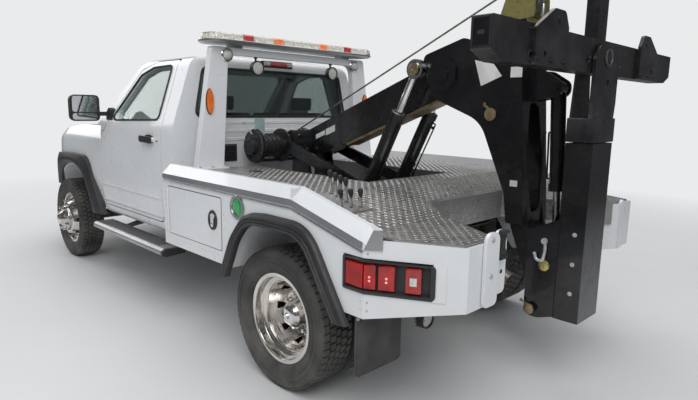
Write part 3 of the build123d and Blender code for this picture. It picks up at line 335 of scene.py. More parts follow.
darkPlastic = finish("darkPlastic", (0.018, 0.018, 0.02), (0.032, 0.032, 0.035), patch=4, rough=0.46,
                     grain=500, depth=0.0002, dust=0.05)
# black rubber, and also the painted shade in slots, a hole, a slit and a door gap
blackRubberAndShade = finish("blackRubberAndShade", (0.014, 0.014, 0.015), (0.026, 0.026, 0.027), patch=8, rough=0.62,
                     grain=260, depth=0.0003, dust=0.12)
tyreRubber = finish("tyreRubber", (0.012, 0.012, 0.0125), (0.03, 0.029, 0.028), patch=6, rough=0.66,
                    grain=320, depth=0.0004, dust=0.16)
wheelAlloy = finish("wheelAlloy", (0.78, 0.76, 0.73), (0.62, 0.59, 0.55), patch=5, rough=0.2, uneven=0.1,
                    metal=1, grain=60, depth=0.0002, stretch=(8, 1, 1))
chrome = finish("chrome", (0.84, 0.84, 0.85), (0.72, 0.72, 0.74), patch=9, rough=0.08, uneven=0.04, metal=1,
                depth=0.00004)
treadMetal = finish("treadMetal", (0.5, 0.49, 0.48), (0.38, 0.37, 0.36), patch=4, rough=0.36, uneven=0.12,
                    metal=0.85, grain=200, depth=0.0003, dust=0.2)
treadBar = finish("treadBar", (0.62, 0.61, 0.6), (0.5, 0.49, 0.48), patch=5, rough=0.26, uneven=0.1,
                  metal=0.9, grain=240, depth=0.0001)
smoothMetal = finish("smoothMetal", (0.56, 0.56, 0.57), (0.46, 0.46, 0.47), rough=0.34, metal=0.9,
                     stretch=(1, 40, 40), grain=80)
stepMetal = finish("stepMetal", (0.5, 0.5, 0.51), (0.36, 0.36, 0.37), rough=0.32, metal=0.85,
                   stretch=(30, 1, 30), dust=0.18)
pinSteel = finish("pinSteel", (0.46, 0.36, 0.22), (0.26, 0.2, 0.13), patch=22, rough=0.38, uneven=0.12,
                  metal=0.85, grain=140)
zincGold = finish("zincGold", (0.62, 0.54, 0.22), (0.52, 0.5, 0.22), patch=9, rough=0.3, metal=0.85,
                  grain=150)
castGrey = finish("castGrey", (0.2, 0.2, 0.2), (0.09, 0.085, 0.08), patch=18, rough=0.5, metal=0.7,
                  grain=90, depth=0.0008)
hookZinc = finish("hookZinc", (0.66, 0.67, 0.68), (0.5, 0.5, 0.5), patch=30, rough=0.42, metal=0.6,
                  grain=160)
exhaustSteel = finish("exhaustSteel", (0.38, 0.34, 0.3), (0.24, 0.2, 0.17), patch=9, rough=0.42, metal=0.9)
ropeSteel = finish("ropeSteel", (0.36, 0.34, 0.31), (0.2, 0.19, 0.17), patch=40, rough=0.42, metal=0.85)
tankBlack = finish("tankBlack", (0.02, 0.02, 0.021), (0.035, 0.035, 0.035), rough=0.5, dust=0.3)
seatCloth = finish("seatCloth", (0.05, 0.05, 0.055), (0.075, 0.075, 0.08), patch=40, rough=0.9, grain=900,
                   depth=0.0006, ribs=("DIAGONAL", 160, 0.5))
dashPlastic = finish("dashPlastic", (0.045, 0.045, 0.05), (0.06, 0.06, 0.065), rough=0.62, grain=400)
plainLabel = finish("plainLabel", (0.62, 0.62, 0.6), (0.52, 0.52, 0.5), patch=12, rough=0.4)
palePlate = finish("palePlate", (0.42, 0.56, 0.56), (0.34, 0.46, 0.46), patch=12, rough=0.36, metal=0.3)
redLens = finish("redLens", (0.38, 0.002, 0.003), (0.24, 0.001, 0.002), patch=20, rough=0.14, coat=0.5,
                 glow=0.12, ribs=("Z", 60, 2), depth=0.0006)
# a glowing pink tone for the painted glints (highlights) on the tail lenses
paintedGlint = finish("paintedGlint", (1, 0.4, 0.4), (0.9, 0.25, 0.25), patch=30, rough=0.2, glow=0.9)
amberLens = finish("amberLens", (0.75, 0.16, 0.01), (0.62, 0.11, 0.01), patch=20, rough=0.16, coat=1,
                   glow=0.15, ribs=("Z", 70, 2), depth=0.0006)
greenLens = finish("greenLens", (0.02, 0.36, 0.1), (0.01, 0.24, 0.06), patch=20, rough=0.12, coat=1,
                   glow=0.12, ribs=("Z", 60, 2), depth=0.0006)
paleLens = finish("paleLens", (0.66, 0.66, 0.6), (0.5, 0.5, 0.46), patch=60, rough=0.16, coat=1,
                  ribs=("X", 60, 2), depth=0.0008)
mirrorFace = finish("mirrorFace", (0.8, 0.8, 0.82), (0.76, 0.76, 0.78), rough=0.03, uneven=0.01, metal=1,
                    depth=0.00001)
windowGlass = glassFinish("windowGlass", (0.7, 0.78, 0.76), 0.02)
darkGlass = glassFinish("darkGlass", (0.25, 0.29, 0.28), 0.02)
clearGlass = glassFinish("clearGlass", (0.93, 0.94, 0.94), 0.03)
barClear = glassFinish("barClear", (0.97, 0.97, 0.96), 0.06)
print("finishes mixed")


# The CAD nodes whose shape is shown as it is

dressed = {
    whitePaint: ["cab_shell", "door_left", "door_right", "body_left", "body_right", "toolbox_door_left",
                 "toolbox_door_right", "side_rails"],
    boomBlack: ["boom", "boom_mast", "lift_barrels", "fold_barrel", "stinger_sleeve"],
    scuffedBlack: ["stinger_inner", "crossbar", "winch"],
    chassisBlack: ["frame_rails", "frame_crossmembers", "front_axle", "rear_axle", "knuckle_left",
                   "knuckle_right", "leaf_springs", "drive_shaft", "engine_block"],
    tankBlack: ["fuel_tank"],
    blackRubberAndShade: ["mudflaps"],
    wheelAlloy: ["wheel_front_left", "wheel_front_right", "wheels_rear_left", "wheels_rear_right"],
    chrome: ["lift_rods", "fold_rod"],
    treadMetal: ["deck"],
    zincGold: ["boom_head"],
    exhaustSteel: ["exhaust_pipe"],
    dashPlastic: ["dashboard"],
    windowGlass: ["door_glass_left", "door_glass_right"],
    darkGlass: ["cab_glass"],
}
for coat, names in dressed.items():
    for name in names:
        cad[name].data.materials.clear()
        cad[name].data.materials.append(coat)

# The rope sheave is bare casting between its yellow cheeks
sheave = dict(y=4.44, z=2.185, radius=0.095, halfWide=0.03)
head = cad["boom_head"]
head.data.materials.append(castGrey)
for face in head.data.polygons:
    middle = head.matrix_world @ face.center
    reach = hypot(middle.y - axleY - sheave["y"], middle.z - sheave["z"])
    if abs(middle.x) < sheave["halfWide"] and reach < sheave["radius"]:
        face.material_index = 1


# Tyres with their tread and sidewall rings

tyreShape = dict(
    radius=0.405, halfWidth=0.112, bead=0.2495, pitches=58, depth=0.012, gap=0.16, slant=0.35,
    ribs=[(-0.1, -0.064), (-0.056, -0.022), (-0.014, 0.014), (0.022, 0.056), (0.064, 0.1)])


def tyreSection(shape):
    wide, top = shape["halfWidth"], shape["radius"] - shape["depth"]
    half = [(0.0758, shape["bead"]), (0.0758, 0.2622), (0.087, 0.2626), (0.098, 0.272), (0.1065, 0.287),
            (0.1085, 0.2885), (0.1105, 0.305), (wide, 0.318), (wide, 0.322), (wide - 0.002, 0.3225),
            (wide - 0.0015, 0.345), (wide + 0.0008, 0.3455), (wide + 0.0006, 0.3505), (0.1095, 0.352),
            (0.106, 0.376), (0.1015, top - 0.006), (0.094, top), (0.03, top + 0.001)]
    return half + [(-x, r) for x, r in reversed(half)]


def addTreadBlock(mesh, centre, shape, rib, turn, outside):
    low, high = rib
    base, top = shape["radius"] - shape["depth"] - 0.001, shape["radius"]
    width = 2 * pi / shape["pitches"] * (1 - shape["gap"])
    rings = []
    for radius, inset in ((base, 0), (top - 0.003, 0), (top, 0.002)):
        ring = []
        for x, edge in ((low + inset, -1), (high - inset, -1), (high - inset, 1), (low + inset, 1)):
            drop = 0.007 if outside and abs(x) > 0.09 and radius > base else 0
            angle = turn + edge * (width / 2 - inset / 0.4) + shape["slant"] * x
            out = radius - drop
            ring.append(centre + Vector((x, out * sin(angle), out * cos(angle))))
        rings.append(ring)
    skin(mesh, rings)


def addTyre(mesh, centre, shape):
    addTurned(mesh, tyreSection(shape), centre, steps=116)
    for number, rib in enumerate(shape["ribs"]):
        outside = number in (0, len(shape["ribs"]) - 1)
        for step in range(shape["pitches"]):
            turn = 2 * pi * (step + 0.5 * (number % 2)) / shape["pitches"]
            addTreadBlock(mesh, centre, shape, rib, turn, outside)


tyreX, dualMiddle, discOffset = 0.964, 0.934, 0.127


def tyres(side, sideName):
    front, rear = bmesh.new(), bmesh.new()
    addTyre(front, at(side * tyreX, 0, tyreShape["radius"]), tyreShape)
    piece("tyreTreadFront_" + sideName, front, tyreRubber, f"front_{sideName}_wheel", angle=28, slot="tyre",
          standsFor=("tyre_front_" + sideName,))
    for offset in (discOffset, -discOffset):
        addTyre(rear, at(side * (dualMiddle + offset), wheelbase, tyreShape["radius"]), tyreShape)
    piece("tyreTreadRear_" + sideName, rear, tyreRubber, f"rear_{sideName}_wheels", angle=28, slot="tyre",
          standsFor=("tyres_rear_" + sideName,))


bothSides(tyres)
print("tyres made")


# Wheel nuts, valve and the hub's end cap

nutRing = dict(count=8, circle=0.1125, radius=0.0155, height=0.034, frontFoot=0.026, rearFoot=0.027)
hubLook = dict(
    front=[(0.07, 0), (0.07, 0.048), (0.0785, 0.05), (0.086, 0.042), (0.09, 0.026), (0.094, 0)],
    rear=[(0.118, 0), (0.118, 0.05), (0.129, 0.05), (0.134, 0.04), (0.136, 0.02), (0.15, 0.012),
          (0.152, 0)], rearX=0.019, valve=((0.002, 0.172), (0.03, 0.192)), valveSize=0.0042)


def addNuts(mesh, centre, side, ring, foot):
    radius, height = ring["radius"], ring["height"]
    profile = [(0, 0), (0, radius * 1.25), (0.004, radius * 1.25), (0.006, radius),
               (height - 0.006, radius * 0.92), (height, radius * 0.5), (height, 0)]
    for step in range(ring["count"]):
        turn = 2 * pi * (step + 0.5) / ring["count"]
        root = centre + Vector((side * foot, ring["circle"] * sin(turn), ring["circle"] * cos(turn)))
        addTurned(mesh, profile, root, (side, 0, 0), 12)


def wheelTrim(side, sideName):
    front, rear = bmesh.new(), bmesh.new()
    centre = at(side * (tyreX + discOffset), 0, tyreShape["radius"])
    addNuts(front, centre, side, nutRing, nutRing["frontFoot"])
    addTurned(front, hubLook["front"], centre, (side, 0, 0), 40)
    addRod(front, *(centre + Vector((side * x, 0, z)) for x, z in hubLook["valve"]), hubLook["valveSize"], 10)
    piece("wheelNutsFront_" + sideName, front, chrome, f"front_{sideName}_wheel", slot="wheel_alloy")
    centre = at(side * (dualMiddle + hubLook["rearX"]), wheelbase, tyreShape["radius"])
    addNuts(rear, centre, side, nutRing, nutRing["rearFoot"])
    addTurned(rear, hubLook["rear"], centre, (side, 0, 0), 40)
    piece("wheelNutsRear_" + sideName, rear, chrome, f"rear_{sideName}_wheels", slot="wheel_alloy")


bothSides(wheelTrim)
print("wheel nuts made")


# Tread bars raised from the deck plate

deckShape = dict(
    level=1.115, lowLevel=1.0, breakY=3.84, flatY=4.3, frontY=2.418, edgeX=1.1, cornerY=4.47, tailY=4.735,
    tailOuterX=0.966, pitHalf=0.426, pitRearY=3.66, notchY=4.13, notchHalf=0.4, notchMouth=0.75,
    mouthY=4.8, notchFace=4.1296, notchSide=0.66, leverPlate=(0.846, 1.074, 3.83, 4.108),
    opening=(0.64, 2.745), openingReach=(0.7, 1.3), openingSize=0.062)
barShape = dict(
    pitch=0.027, length=0.021, width=0.0047, height=0.0014, straight=0.82, lean=0.57, sunk=0.0001,
    wallFoot=0.874, wallGap=0.012)


def deckHeight(y, deck):
    if y < deck["breakY"]:
        return deck["level"]
    share = min(1, (y - deck["breakY"]) / (deck["flatY"] - deck["breakY"]))
    return deck["level"] + (deck["lowLevel"] - deck["level"]) * share


def onDeck(x, y, deck, margin=0.014):
    x = abs(x)
    if not deck["frontY"] + margin < y < deck["tailY"] - margin or x > deck["edgeX"] - margin:
        return False
    if x < deck["pitHalf"] + margin and y < deck["pitRearY"] + margin:
        return False
    mouth = deck["notchHalf"] + (deck["notchMouth"] - deck["notchHalf"]) * (
        (y - deck["notchY"]) / (deck["mouthY"] - deck["notchY"]))
    if y > deck["notchY"] - margin and x < mouth + margin:
        return False
    if y > deck["cornerY"]:
        share = (y - deck["cornerY"]) / (deck["tailY"] - deck["cornerY"])
        if x > deck["edgeX"] + (deck["tailOuterX"] - deck["edgeX"]) * share - margin:
            return False
    return True


def addBar(mesh, place, along, across, up, bar):
    tips = [place + along * (bar["length"] / 2 * s) for s in (-1, 1)]
    sides = [place + across * (bar["width"] / 2 * s) for s in (-1, 1)]
    crown = [place + along * (bar["length"] * 0.26 * s) + up * bar["height"] for s in (-1, 1)]
    verts = [mesh.verts.new(p) for p in (*tips, *sides, *crown)]
    a, b, left, right, low, high = verts
    for face in ((a, left, low), (a, low, right), (left, high, low), (right, low, high), (b, high, left),
                 (b, right, high)):
        mesh.faces.new(face)


def barLean(forward, across, row, column):
    # neighbouring bars lean opposite ways
    lean = 1 if (row + column) % 2 else -1
    return (forward * barShape["straight"] + across * (lean * barShape["lean"])).normalized()


def isBare(x, y, deck):
    # no bars under the levers' plate nor over the oval opening
    x0, x1, y0, y1 = deck["leverPlate"]
    (middleX, middleY), (reachX, reachY) = deck["opening"], deck["openingReach"]
    reach = hypot((x - middleX) / reachX, (y - middleY) / reachY)
    return x0 < x < x1 and y0 < y < y1 or reach < deck["openingSize"]


def deckBars(deck, bar):
    mesh = bmesh.new()
    pitch = bar["pitch"]
    columns = int(deck["edgeX"] / pitch) + 1
    for row in range(int((deck["tailY"] - deck["frontY"]) / pitch) + 1):
        y = deck["frontY"] + row * pitch
        slope = (deckHeight(y + 0.001, deck) - deckHeight(y - 0.001, deck)) / 0.002
        rear = Vector((0, 1, slope)).normalized()
        up = Vector((0, -slope, 1)).normalized()
        for column in range(-columns, columns + 1):
            x = column * pitch
            if onDeck(x, y, deck) and not isBare(x, y, deck):
                along = barLean(rear, Vector((1, 0, 0)), row, column)
                addBar(mesh, at(x, y, deckHeight(y, deck) - bar["sunk"]), along, along.cross(up), up, bar)
    # the tall plates round the notch
    half, faceY = deck["notchHalf"], deck["notchFace"]
    for side in (1, -1):
        run = Vector((side * (deck["notchMouth"] - half), deck["mouthY"] - deck["notchY"], 0))
        out = Vector((-side * run.y, side * run.x, 0)).normalized()
        wallBars(mesh, at(side * half, deck["notchY"], 0), run.normalized(), deck["notchSide"], out, deck,
                 bar)
    wallBars(mesh, at(-half, faceY, 0), Vector((1, 0, 0)), 2 * half, Vector((0, 1, 0)), deck, bar)
    piece("deckTreadBars", mesh, treadBar, slot="tread_plate", angle=60)


def wallBars(mesh, start, run, length, out, deck, bar):
    pitch = bar["pitch"]
    for column in range(int(length / pitch)):
        spot = start + run * ((column + 0.5) * pitch)
        top = deckHeight(spot.y - axleY, deck) - bar["wallGap"]
        for row in range(int((top - bar["wallFoot"]) / pitch)):
            along = barLean(run, Vector((0, 0, 1)), row, column)
            place = spot + Vector((0, 0, bar["wallFoot"] + (row + 0.5) * pitch)) + out * bar["sunk"]
            addBar(mesh, place, along, along.cross(out), out, bar)


deckBars(deckShape, barShape)
print("deck bars made")


# The nose, drawn in towards its front corners and sloping down a little more than the CAD

noseLook = dict(
    startY=-0.3, endY=-0.8, narrow=0.14, power=1.15, dropY=0.1, drop=0.075, dropPower=1.4, dropLow=0.85,
    dropHigh=1.25, longest=0.06)


def noseShift(point):
    look = noseLook
    x, y, z = point.x, point.y - axleY, point.z
    if y < look["startY"]:
        share = (look["startY"] - y) / (look["startY"] - look["endY"])
        x *= 1 - look["narrow"] * share ** look["power"]
    if y < look["dropY"]:
        rise = min(1, max(0, (z - look["dropLow"]) / (look["dropHigh"] - look["dropLow"])))
        z -= look["drop"] * rise * ((look["dropY"] - y) / (look["dropY"] - look["endY"])) ** look["dropPower"]
    return at(x, y, z)


# Ribbed dark arches: each a band between an inner and an outer outline, seen from the side

archLook = dict(
    steps=7, stations=60, rearReach=(1.1905, 1.2315), frontReach=(0.972, 1.061),
    bandProfile=[(0, 0), (0.02, 0.72), (0.1, 0.95), (0.2, 1), (0.27, 1), (0.3, 0.9), (0.34, 0.9),
                 (0.37, 1), (0.5, 0.99), (0.53, 0.88), (0.57, 0.88), (0.6, 0.96), (0.8, 0.84),
                 (0.95, 0.55), (1, 0)],
    rearOuter=[(3.157, 0.56, 0), (3.285, 0.82, 0.3), (3.43, 0.985, 0.3), (3.62, 1.003, 0.3),
               (3.985, 1.003, 0.26), (4.277, 0.56, 0)],
    rearInner=[(3.244, 0.56, 0), (3.36, 0.8, 0.3), (3.47, 0.92, 0.3), (3.62, 0.928, 0.3),
               (3.935, 0.928, 0.2), (4.18, 0.56, 0)],
    frontOuter=[(-0.742, 0.703, 0), (-0.47, 1.085, 0.21), (0.44, 1.085, 0.24), (0.735, 0.62, 0.3),
                (0.8, 0.548, 0)], frontRadius=0.562, frontMiddle=(0, 0.41))


def addBand(mesh, inner, outer, side, foot, crest, profile):
    # x rises from foot to crest as the profile says
    rings = []
    for (y0, z0), (y1, z1) in zip(inner, outer):
        ring = []
        for share, rise in profile:
            x = foot + (crest - foot) * rise
            ring.append(at(side * x, y0 + (y1 - y0) * share, z0 + (z1 - z0) * share))
        rings.append(ring)
    skin(mesh, rings)


def evenly(points, count):
    # the same line with evenly spaced points
    lengths = [0]
    for before, after in zip(points, points[1:]):
        lengths.append(lengths[-1] + (Vector(after) - Vector(before)).length)
    result = []
    for step in range(count):
        target = lengths[-1] * step / (count - 1)
        index = max(i for i, length in enumerate(lengths[:-1]) if length <= target + 1e-9)
        share = (target - lengths[index]) / (lengths[index + 1] - lengths[index])
        result.append(Vector(points[index]).lerp(Vector(points[index + 1]), min(1, share)))
    return result


def plainSwell(share):
    # the front flare has none of the rear one's grooves
    return sin(pi * min(1, share * 1.6 + 0.1) / 2) ** 0.5 * (1 - 0.42 * share ** 2)


def arches(side, sideName):
    mesh = bmesh.new()
    look = archLook
    count = look["stations"]
    outer, inner = (evenly(rounded(look[name], look["steps"]), count)
                    for name in ("rearOuter", "rearInner"))
    addBand(mesh, inner, outer, side, *look["rearReach"], look["bandProfile"])
    outer = evenly(rounded(look["frontOuter"], look["steps"]), count)
    (middleY, middleZ), radius = look["frontMiddle"], look["frontRadius"]
    start = pi - asin((look["frontOuter"][0][1] - middleZ) / radius)
    end = asin((look["frontOuter"][-1][1] - middleZ) / radius)
    turns = [start + (end - start) * step / (count - 1) for step in range(count)]
    inner = [Vector((middleY + radius * cos(a), middleZ + radius * sin(a))) for a in turns]
    smooth = [(share, rise if share in (0, 1) else plainSwell(share))
              for share, rise in look["bandProfile"]]
    addBand(mesh, inner, outer, side, *look["frontReach"], smooth)
    for vert in mesh.verts:
        vert.co = noseShift(vert.co)
    piece("archFlares_" + sideName, mesh, darkPlastic, slot="black_plastic", angle=38,
          standsFor=("arch_flares",))


bothSides(arches)


# Tail lamps round the rear corners: a sunken tray, three lenses and the side one

tailLook = dict(
    cornerX=1.1965, cornerY=4.361, endX=1.022, endY=4.68, sideRun=0.129, low=0.742, high=0.904,
    rim=0.0135, sunk=0.024, back=0.031, cornerRound=0.022, endGap=0.034, tall=0.86,
    lenses=[(-0.112, -0.004), (0.004, 0.058), (0.072, 0.146), (0.196, 0.266)], clearHalf=0.016,
    paintedGlints=[(0.03, 0.806), (0.03, 0.824), (0.109, 0.806), (0.109, 0.824)])
tailTurn = Vector((tailLook["endX"] - tailLook["cornerX"], tailLook["endY"] - tailLook["cornerY"], 0))
tailRun = tailTurn.length
tailAlong = tailTurn.normalized()
tailOut = Vector((tailAlong.y, -tailAlong.x, 0))


def tailPoint(side, run, out, z):
    # run is measured along the body from its rear corner, out from its face
    if run < -1e-6:
        spot = Vector((tailLook["cornerX"] + out, tailLook["cornerY"] + run, z))
    elif run > 1e-6:
        spot = Vector((tailLook["cornerX"], tailLook["cornerY"], z)) + tailAlong * run + tailOut * out
    else:
        mitre = (tailOut + Vector((1, 0, 0))).normalized()
        spot = Vector((tailLook["cornerX"], tailLook["cornerY"], z)) + mitre * (out / mitre.x)
    return at(side * spot.x, spot.y, spot.z)


def addTailSweep(mesh, side, runs, section):
    # section gives (height share, out) corners; runs give (run, height share) of each station
    low, high = tailLook["low"], tailLook["high"]
    middle, half = (low + high) / 2, (high - low) / 2
    skin(mesh, [[tailPoint(side, run, out, middle + half * tall * share) for share, out in section]
                for run, tall in runs])


def tailLamps(side, sideName):
    look = tailLook
    back, sunk, curve = look["back"], look["sunk"], look["cornerRound"]
    half = (look["high"] - look["low"]) / 2
    lip = 1 - look["rim"] / half
    channel = [(-1, -back), (-1, 0.001), (-0.96, 0.004), (-lip - 0.03, 0.004), (-lip, 0),
               (-lip + 0.04, -sunk), (lip - 0.04, -sunk), (lip, 0), (lip + 0.03, 0.004),
               (0.96, 0.004), (1, 0.001), (1, -back)]
    plain = [(-1, -back), (-1, 0.001), (-0.96, 0.004), (0.96, 0.004), (1, 0.001), (1, -back)]
    front, start = -look["sideRun"], -look["sideRun"] + look["rim"]
    end = tailRun - curve - look["endGap"]
    runs = [(end, 1)]
    for step in range(1, 7):
        angle = pi / 2 * step / 6
        runs.append((end + curve * sin(angle), 1 - (curve / half) * (1 - cos(angle))))
    mesh = bmesh.new()
    addTailSweep(mesh, side, [(start, 1), (0, 1), (end, 1)], channel)
    addTailSweep(mesh, side, [(front, 0.94), (front + 0.004, 1), (start, 1)], plain)
    addTailSweep(mesh, side, runs, plain)
    piece("tailTray_" + sideName, mesh, darkPlastic, slot="black_plastic", standsFor=("tail_lamps",))
    lenses = bmesh.new()
    tall = look["tall"] * lip
    box = [(-tall, -sunk), (-tall, -0.003), (-tall + 0.05, 0.001), (tall - 0.05, 0.001), (tall, -0.003),
           (tall, -sunk)]
    for first, last in look["lenses"]:
        addTailSweep(lenses, side, [(first, 0.96), (first + 0.003, 1), (last - 0.003, 1), (last, 0.96)],
                     box)
    piece("tailLenses_" + sideName, lenses, redLens, slot="red_lens", bevel=0.0012,
          standsFor=("tail_lamps",))
    bright = bmesh.new()
    middle, reach = sum(look["lenses"][3]) / 2, look["clearHalf"]
    addTailSweep(bright, side, [(middle - reach, 1), (middle + reach, 1)],
                 [(-0.26, -0.002), (-0.26, 0.0022), (0.2, 0.0022), (0.2, -0.002)])
    piece("tailClearSquare_" + sideName, bright, paleLens, slot="clear_lens", bevel=0.001)
    # small glowing discs paint bright glints, highlights, on the red lenses
    dots = bmesh.new()
    out = Vector((side * tailOut.x, tailOut.y, 0))
    for run, z in look["paintedGlints"]:
        addTurned(dots, [(0, 0), (0, 0.0056), (0.0014, 0.0048), (0.0024, 0)],
                  tailPoint(side, run, 0.0008, z), out, 14)
    piece("tailPaintedGlints_" + sideName, dots, paintedGlint, slot="red_lens")


bothSides(tailLamps)
print("arches and tail lamps made")


# Round and oval markers, strobes, the light pylon and the work lamps

def addLamp(mesh, place, out, radius, depth):
    profile = [(-0.004, 0), (-0.004, radius), (depth * 0.35, radius), (depth * 0.75, radius * 0.86),
               (depth, radius * 0.4), (depth * 1.04, 0)]
    addTurned(mesh, profile, place, out, 36)


def addRing(mesh, place, out, inner, outer, depth):
    profile = [(-0.002, inner), (-0.002, outer), (depth * 0.6, outer), (depth, outer - depth * 0.5),
               (depth, inner + depth * 0.4), (depth * 0.4, inner)]
    addTurned(mesh, profile, place, out, 44)


greenMarker = dict(
    x=1.1905, y=3.341, z=0.997, ring=0.072, hole=0.052, rivets=0.062, ribs=(-0.022, 0, 0.022),
    ribLow=0.014, ribHigh=0.006, ribTall=0.03, ribProud=(1.192, 1.2015))
amberMarker = dict(x=0.812, z=1.606, halfWidth=0.027, halfHeight=0.088)
strobe = dict(
    x=0.66, z=1.948, ring=(0.03, 0.05, 0.012),
    dome=[(-0.002, 0), (-0.002, 0.036), (0.012, 0.036), (0.026, 0.03), (0.036, 0.018), (0.04, 0)])
pylonFaceY = 2.418


def sideMarker(side, sideName, look):
    place = at(side * look["x"], look["y"], look["z"])
    out = (side, 0, 0)
    ring = bmesh.new()
    addRing(ring, place, out, look["hole"], look["ring"], 0.009)
    for step in range(3):
        turn, reach = 2 * pi * step / 3 + 0.5, look["rivets"]
        addRivet(ring, place + Vector((side * 0.008, reach * cos(turn), reach * sin(turn))), out, 0.0035)
    piece("sideMarkerRing_" + sideName, ring, stepMetal, slot="bare_steel")
    lens = bmesh.new()
    addLamp(lens, place - Vector((side * 0.004, 0, 0)), out, look["hole"], 0.01)
    low, high, tall = look["ribLow"], look["ribHigh"], look["ribTall"]
    for offset in look["ribs"]:
        y, z = look["y"] + offset, look["z"]
        outline = [(y - low, z - tall, 0.006), (y + low, z - tall, 0.006), (y + high, z + tall, 0.006),
                   (y - high, z + tall, 0.006)]
        addPrism(lens, rounded(outline), "x", *(side * x for x in look["ribProud"]))
    piece("sideMarker_" + sideName, lens, greenLens, slot="clear_lens")


def markers(side, sideName):
    sideMarker(side, sideName, greenMarker)
    x, z = amberMarker["x"], amberMarker["z"]
    wide, tall = amberMarker["halfWidth"], amberMarker["halfHeight"]
    for name, grow, depth, coat, slot in (("Rim", 0.006, 0.007, blackRubberAndShade, "dark_rubber"),
                                          ("Lens", 0, 0.017, amberLens, "clear_lens")):
        mesh = bmesh.new()
        addPrism(mesh, ellipse(side * x, z, wide + grow, tall + grow), "y", pylonFaceY - 0.002,
                 pylonFaceY + depth)
        piece(f"amberMarker{name}_{sideName}", mesh, coat, slot=slot, bevel=0.003, angle=50)
    place = at(side * strobe["x"], pylonFaceY, strobe["z"])
    ring, dome = bmesh.new(), bmesh.new()
    addRing(ring, place, (0, 1, 0), *strobe["ring"])
    piece("strobeRing_" + sideName, ring, chrome, slot="chrome")
    addTurned(dome, strobe["dome"], place, (0, 1, 0), 32)
    piece("strobeDome_" + sideName, dome, paleLens, slot="clear_lens")


bothSides(markers)


pylonLook = dict(
    outer=[(-0.93, 0.96, 0), (-0.93, 1.115, 0.06), (-0.786, 2.005, 0.03), (0.786, 2.005, 0.03),
           (0.93, 1.115, 0.06), (0.93, 0.96, 0)],
    inner=[(0.7, 0.96, 0), (0.7, 1.115, 0.06), (0.645, 1.95, 0.09), (-0.645, 1.95, 0.09),
           (-0.7, 1.115, 0.06), (-0.7, 0.96, 0)], front=2.358, plate=(0.69, 0.94),
    plateDeep=(2.398, 2.478), plateTall=(1.115, 1.127), stem=(0.392, 2.4), stemTall=(1.9, 1.953),
    nutTall=(1.938, 1.949))


def lightPylon(look):
    frameMesh = bmesh.new()
    addPrism(frameMesh, rounded(look["outer"] + look["inner"], 6), "y", look["front"], pylonFaceY - 0.0003)
    piece("lightPylon", frameMesh, whitePaint, bevel=0.006, angle=40, slot="white_paint",
          standsFor=("light_pylon",))
    plates, bolts, rods = bmesh.new(), bmesh.new(), bmesh.new()
    (x0, x1), (y0, y1), (z0, z1) = look["plate"], look["plateDeep"], look["plateTall"]
    for side in (1, -1):
        addPrism(plates, plate(side * x0, y0, side * x1, y1, 0.012), "z", z0, z1)
        for x in (x0 + 0.025, (x0 + x1) / 2, x1 - 0.025):
            addBolt(bolts, at(side * x, y1 - 0.03, z1), (0, 0, 1), 0.009, 0.007)
        x, y = look["stem"]
        for (low, high), radius, sides in ((look["stemTall"], 0.008, 16), (look["nutTall"], 0.015, 6)):
            addRod(rods, at(side * x, y, low), at(side * x, y, high), radius, sides)
    piece("pylonFeet", plates, whitePaint, bevel=0.002, slot="white_paint")
    piece("pylonBolts", bolts, hookZinc, slot="zinc_gold")
    piece("workLampStems", rods, darkPlastic, slot="black_plastic")


lightPylon(pylonLook)


def addWorkFace(rim, glass, place, out, radius):
    addRing(rim, place, out, radius * 0.86, radius * 1.02, 0.01)
    addLamp(glass, place - out * 0.003, out, radius * 0.88, 0.008)
    across = out.orthogonal().normalized()
    third = out.cross(across)
    for step in range(9):
        turn, reach = (2 * pi * step / 6, 0.5 * radius) if step < 6 else (2 * pi * step / 3, 0.16 * radius)
        spot = place + (across * cos(turn) + third * sin(turn)) * reach + out * 0.004
        addTurned(glass, [(0, 0), (0, 0.008), (0.0035, 0.0062), (0.0048, 0)], spot, out, 12)


workLook = dict(
    lamps=[(0.392, 2.43, 1.868, 0.055), (0.82, 4.45, 0.545, 0.047)], fins=14, finReach=0.86,
    shell=[(-0.052, 0.5), (-0.04, 0.84), (-0.034, 0.94), (0, 1)],
    bracket=[(4.40, 0.5), (4.44, 0.5), (4.44, 0.7), (4.40, 0.7)], bracketX=(0.8, 0.84))


def workLampFaces(look):
    rim, glass = bmesh.new(), bmesh.new()
    out = Vector((0, 1, 0))
    for side in (1, -1):
        for x, y, z, radius in look["lamps"]:
            place = at(side * x, y, z)
            addWorkFace(rim, glass, place, out, radius)
            shell = [(depth, radius * share) for depth, share in look["shell"]]
            addTurned(rim, [(shell[0][0], 0), *shell, (0, 0)], place, out, 40)
            for step in range(look["fins"]):
                turn, reach = 2 * pi * step / look["fins"], radius * look["finReach"]
                foot = place + Vector((reach * cos(turn), -0.046, reach * sin(turn)))
                addRod(rim, foot, foot + out * 0.04, 0.003, 8)
        addPrism(rim, look["bracket"], "x", *(side * x for x in look["bracketX"]))
    piece("workLampRims", rim, darkPlastic, slot="black_plastic", standsFor=("work_lamps",))
    piece("workLampGlass", glass, paleLens, slot="clear_lens")


workLampFaces(workLook)


# The roof's brake lamp is one long lens in three tones

brakeLamp = dict(half=0.148, red=0.09, y=2.139, depth=0.047, low=1.909, high=1.947)


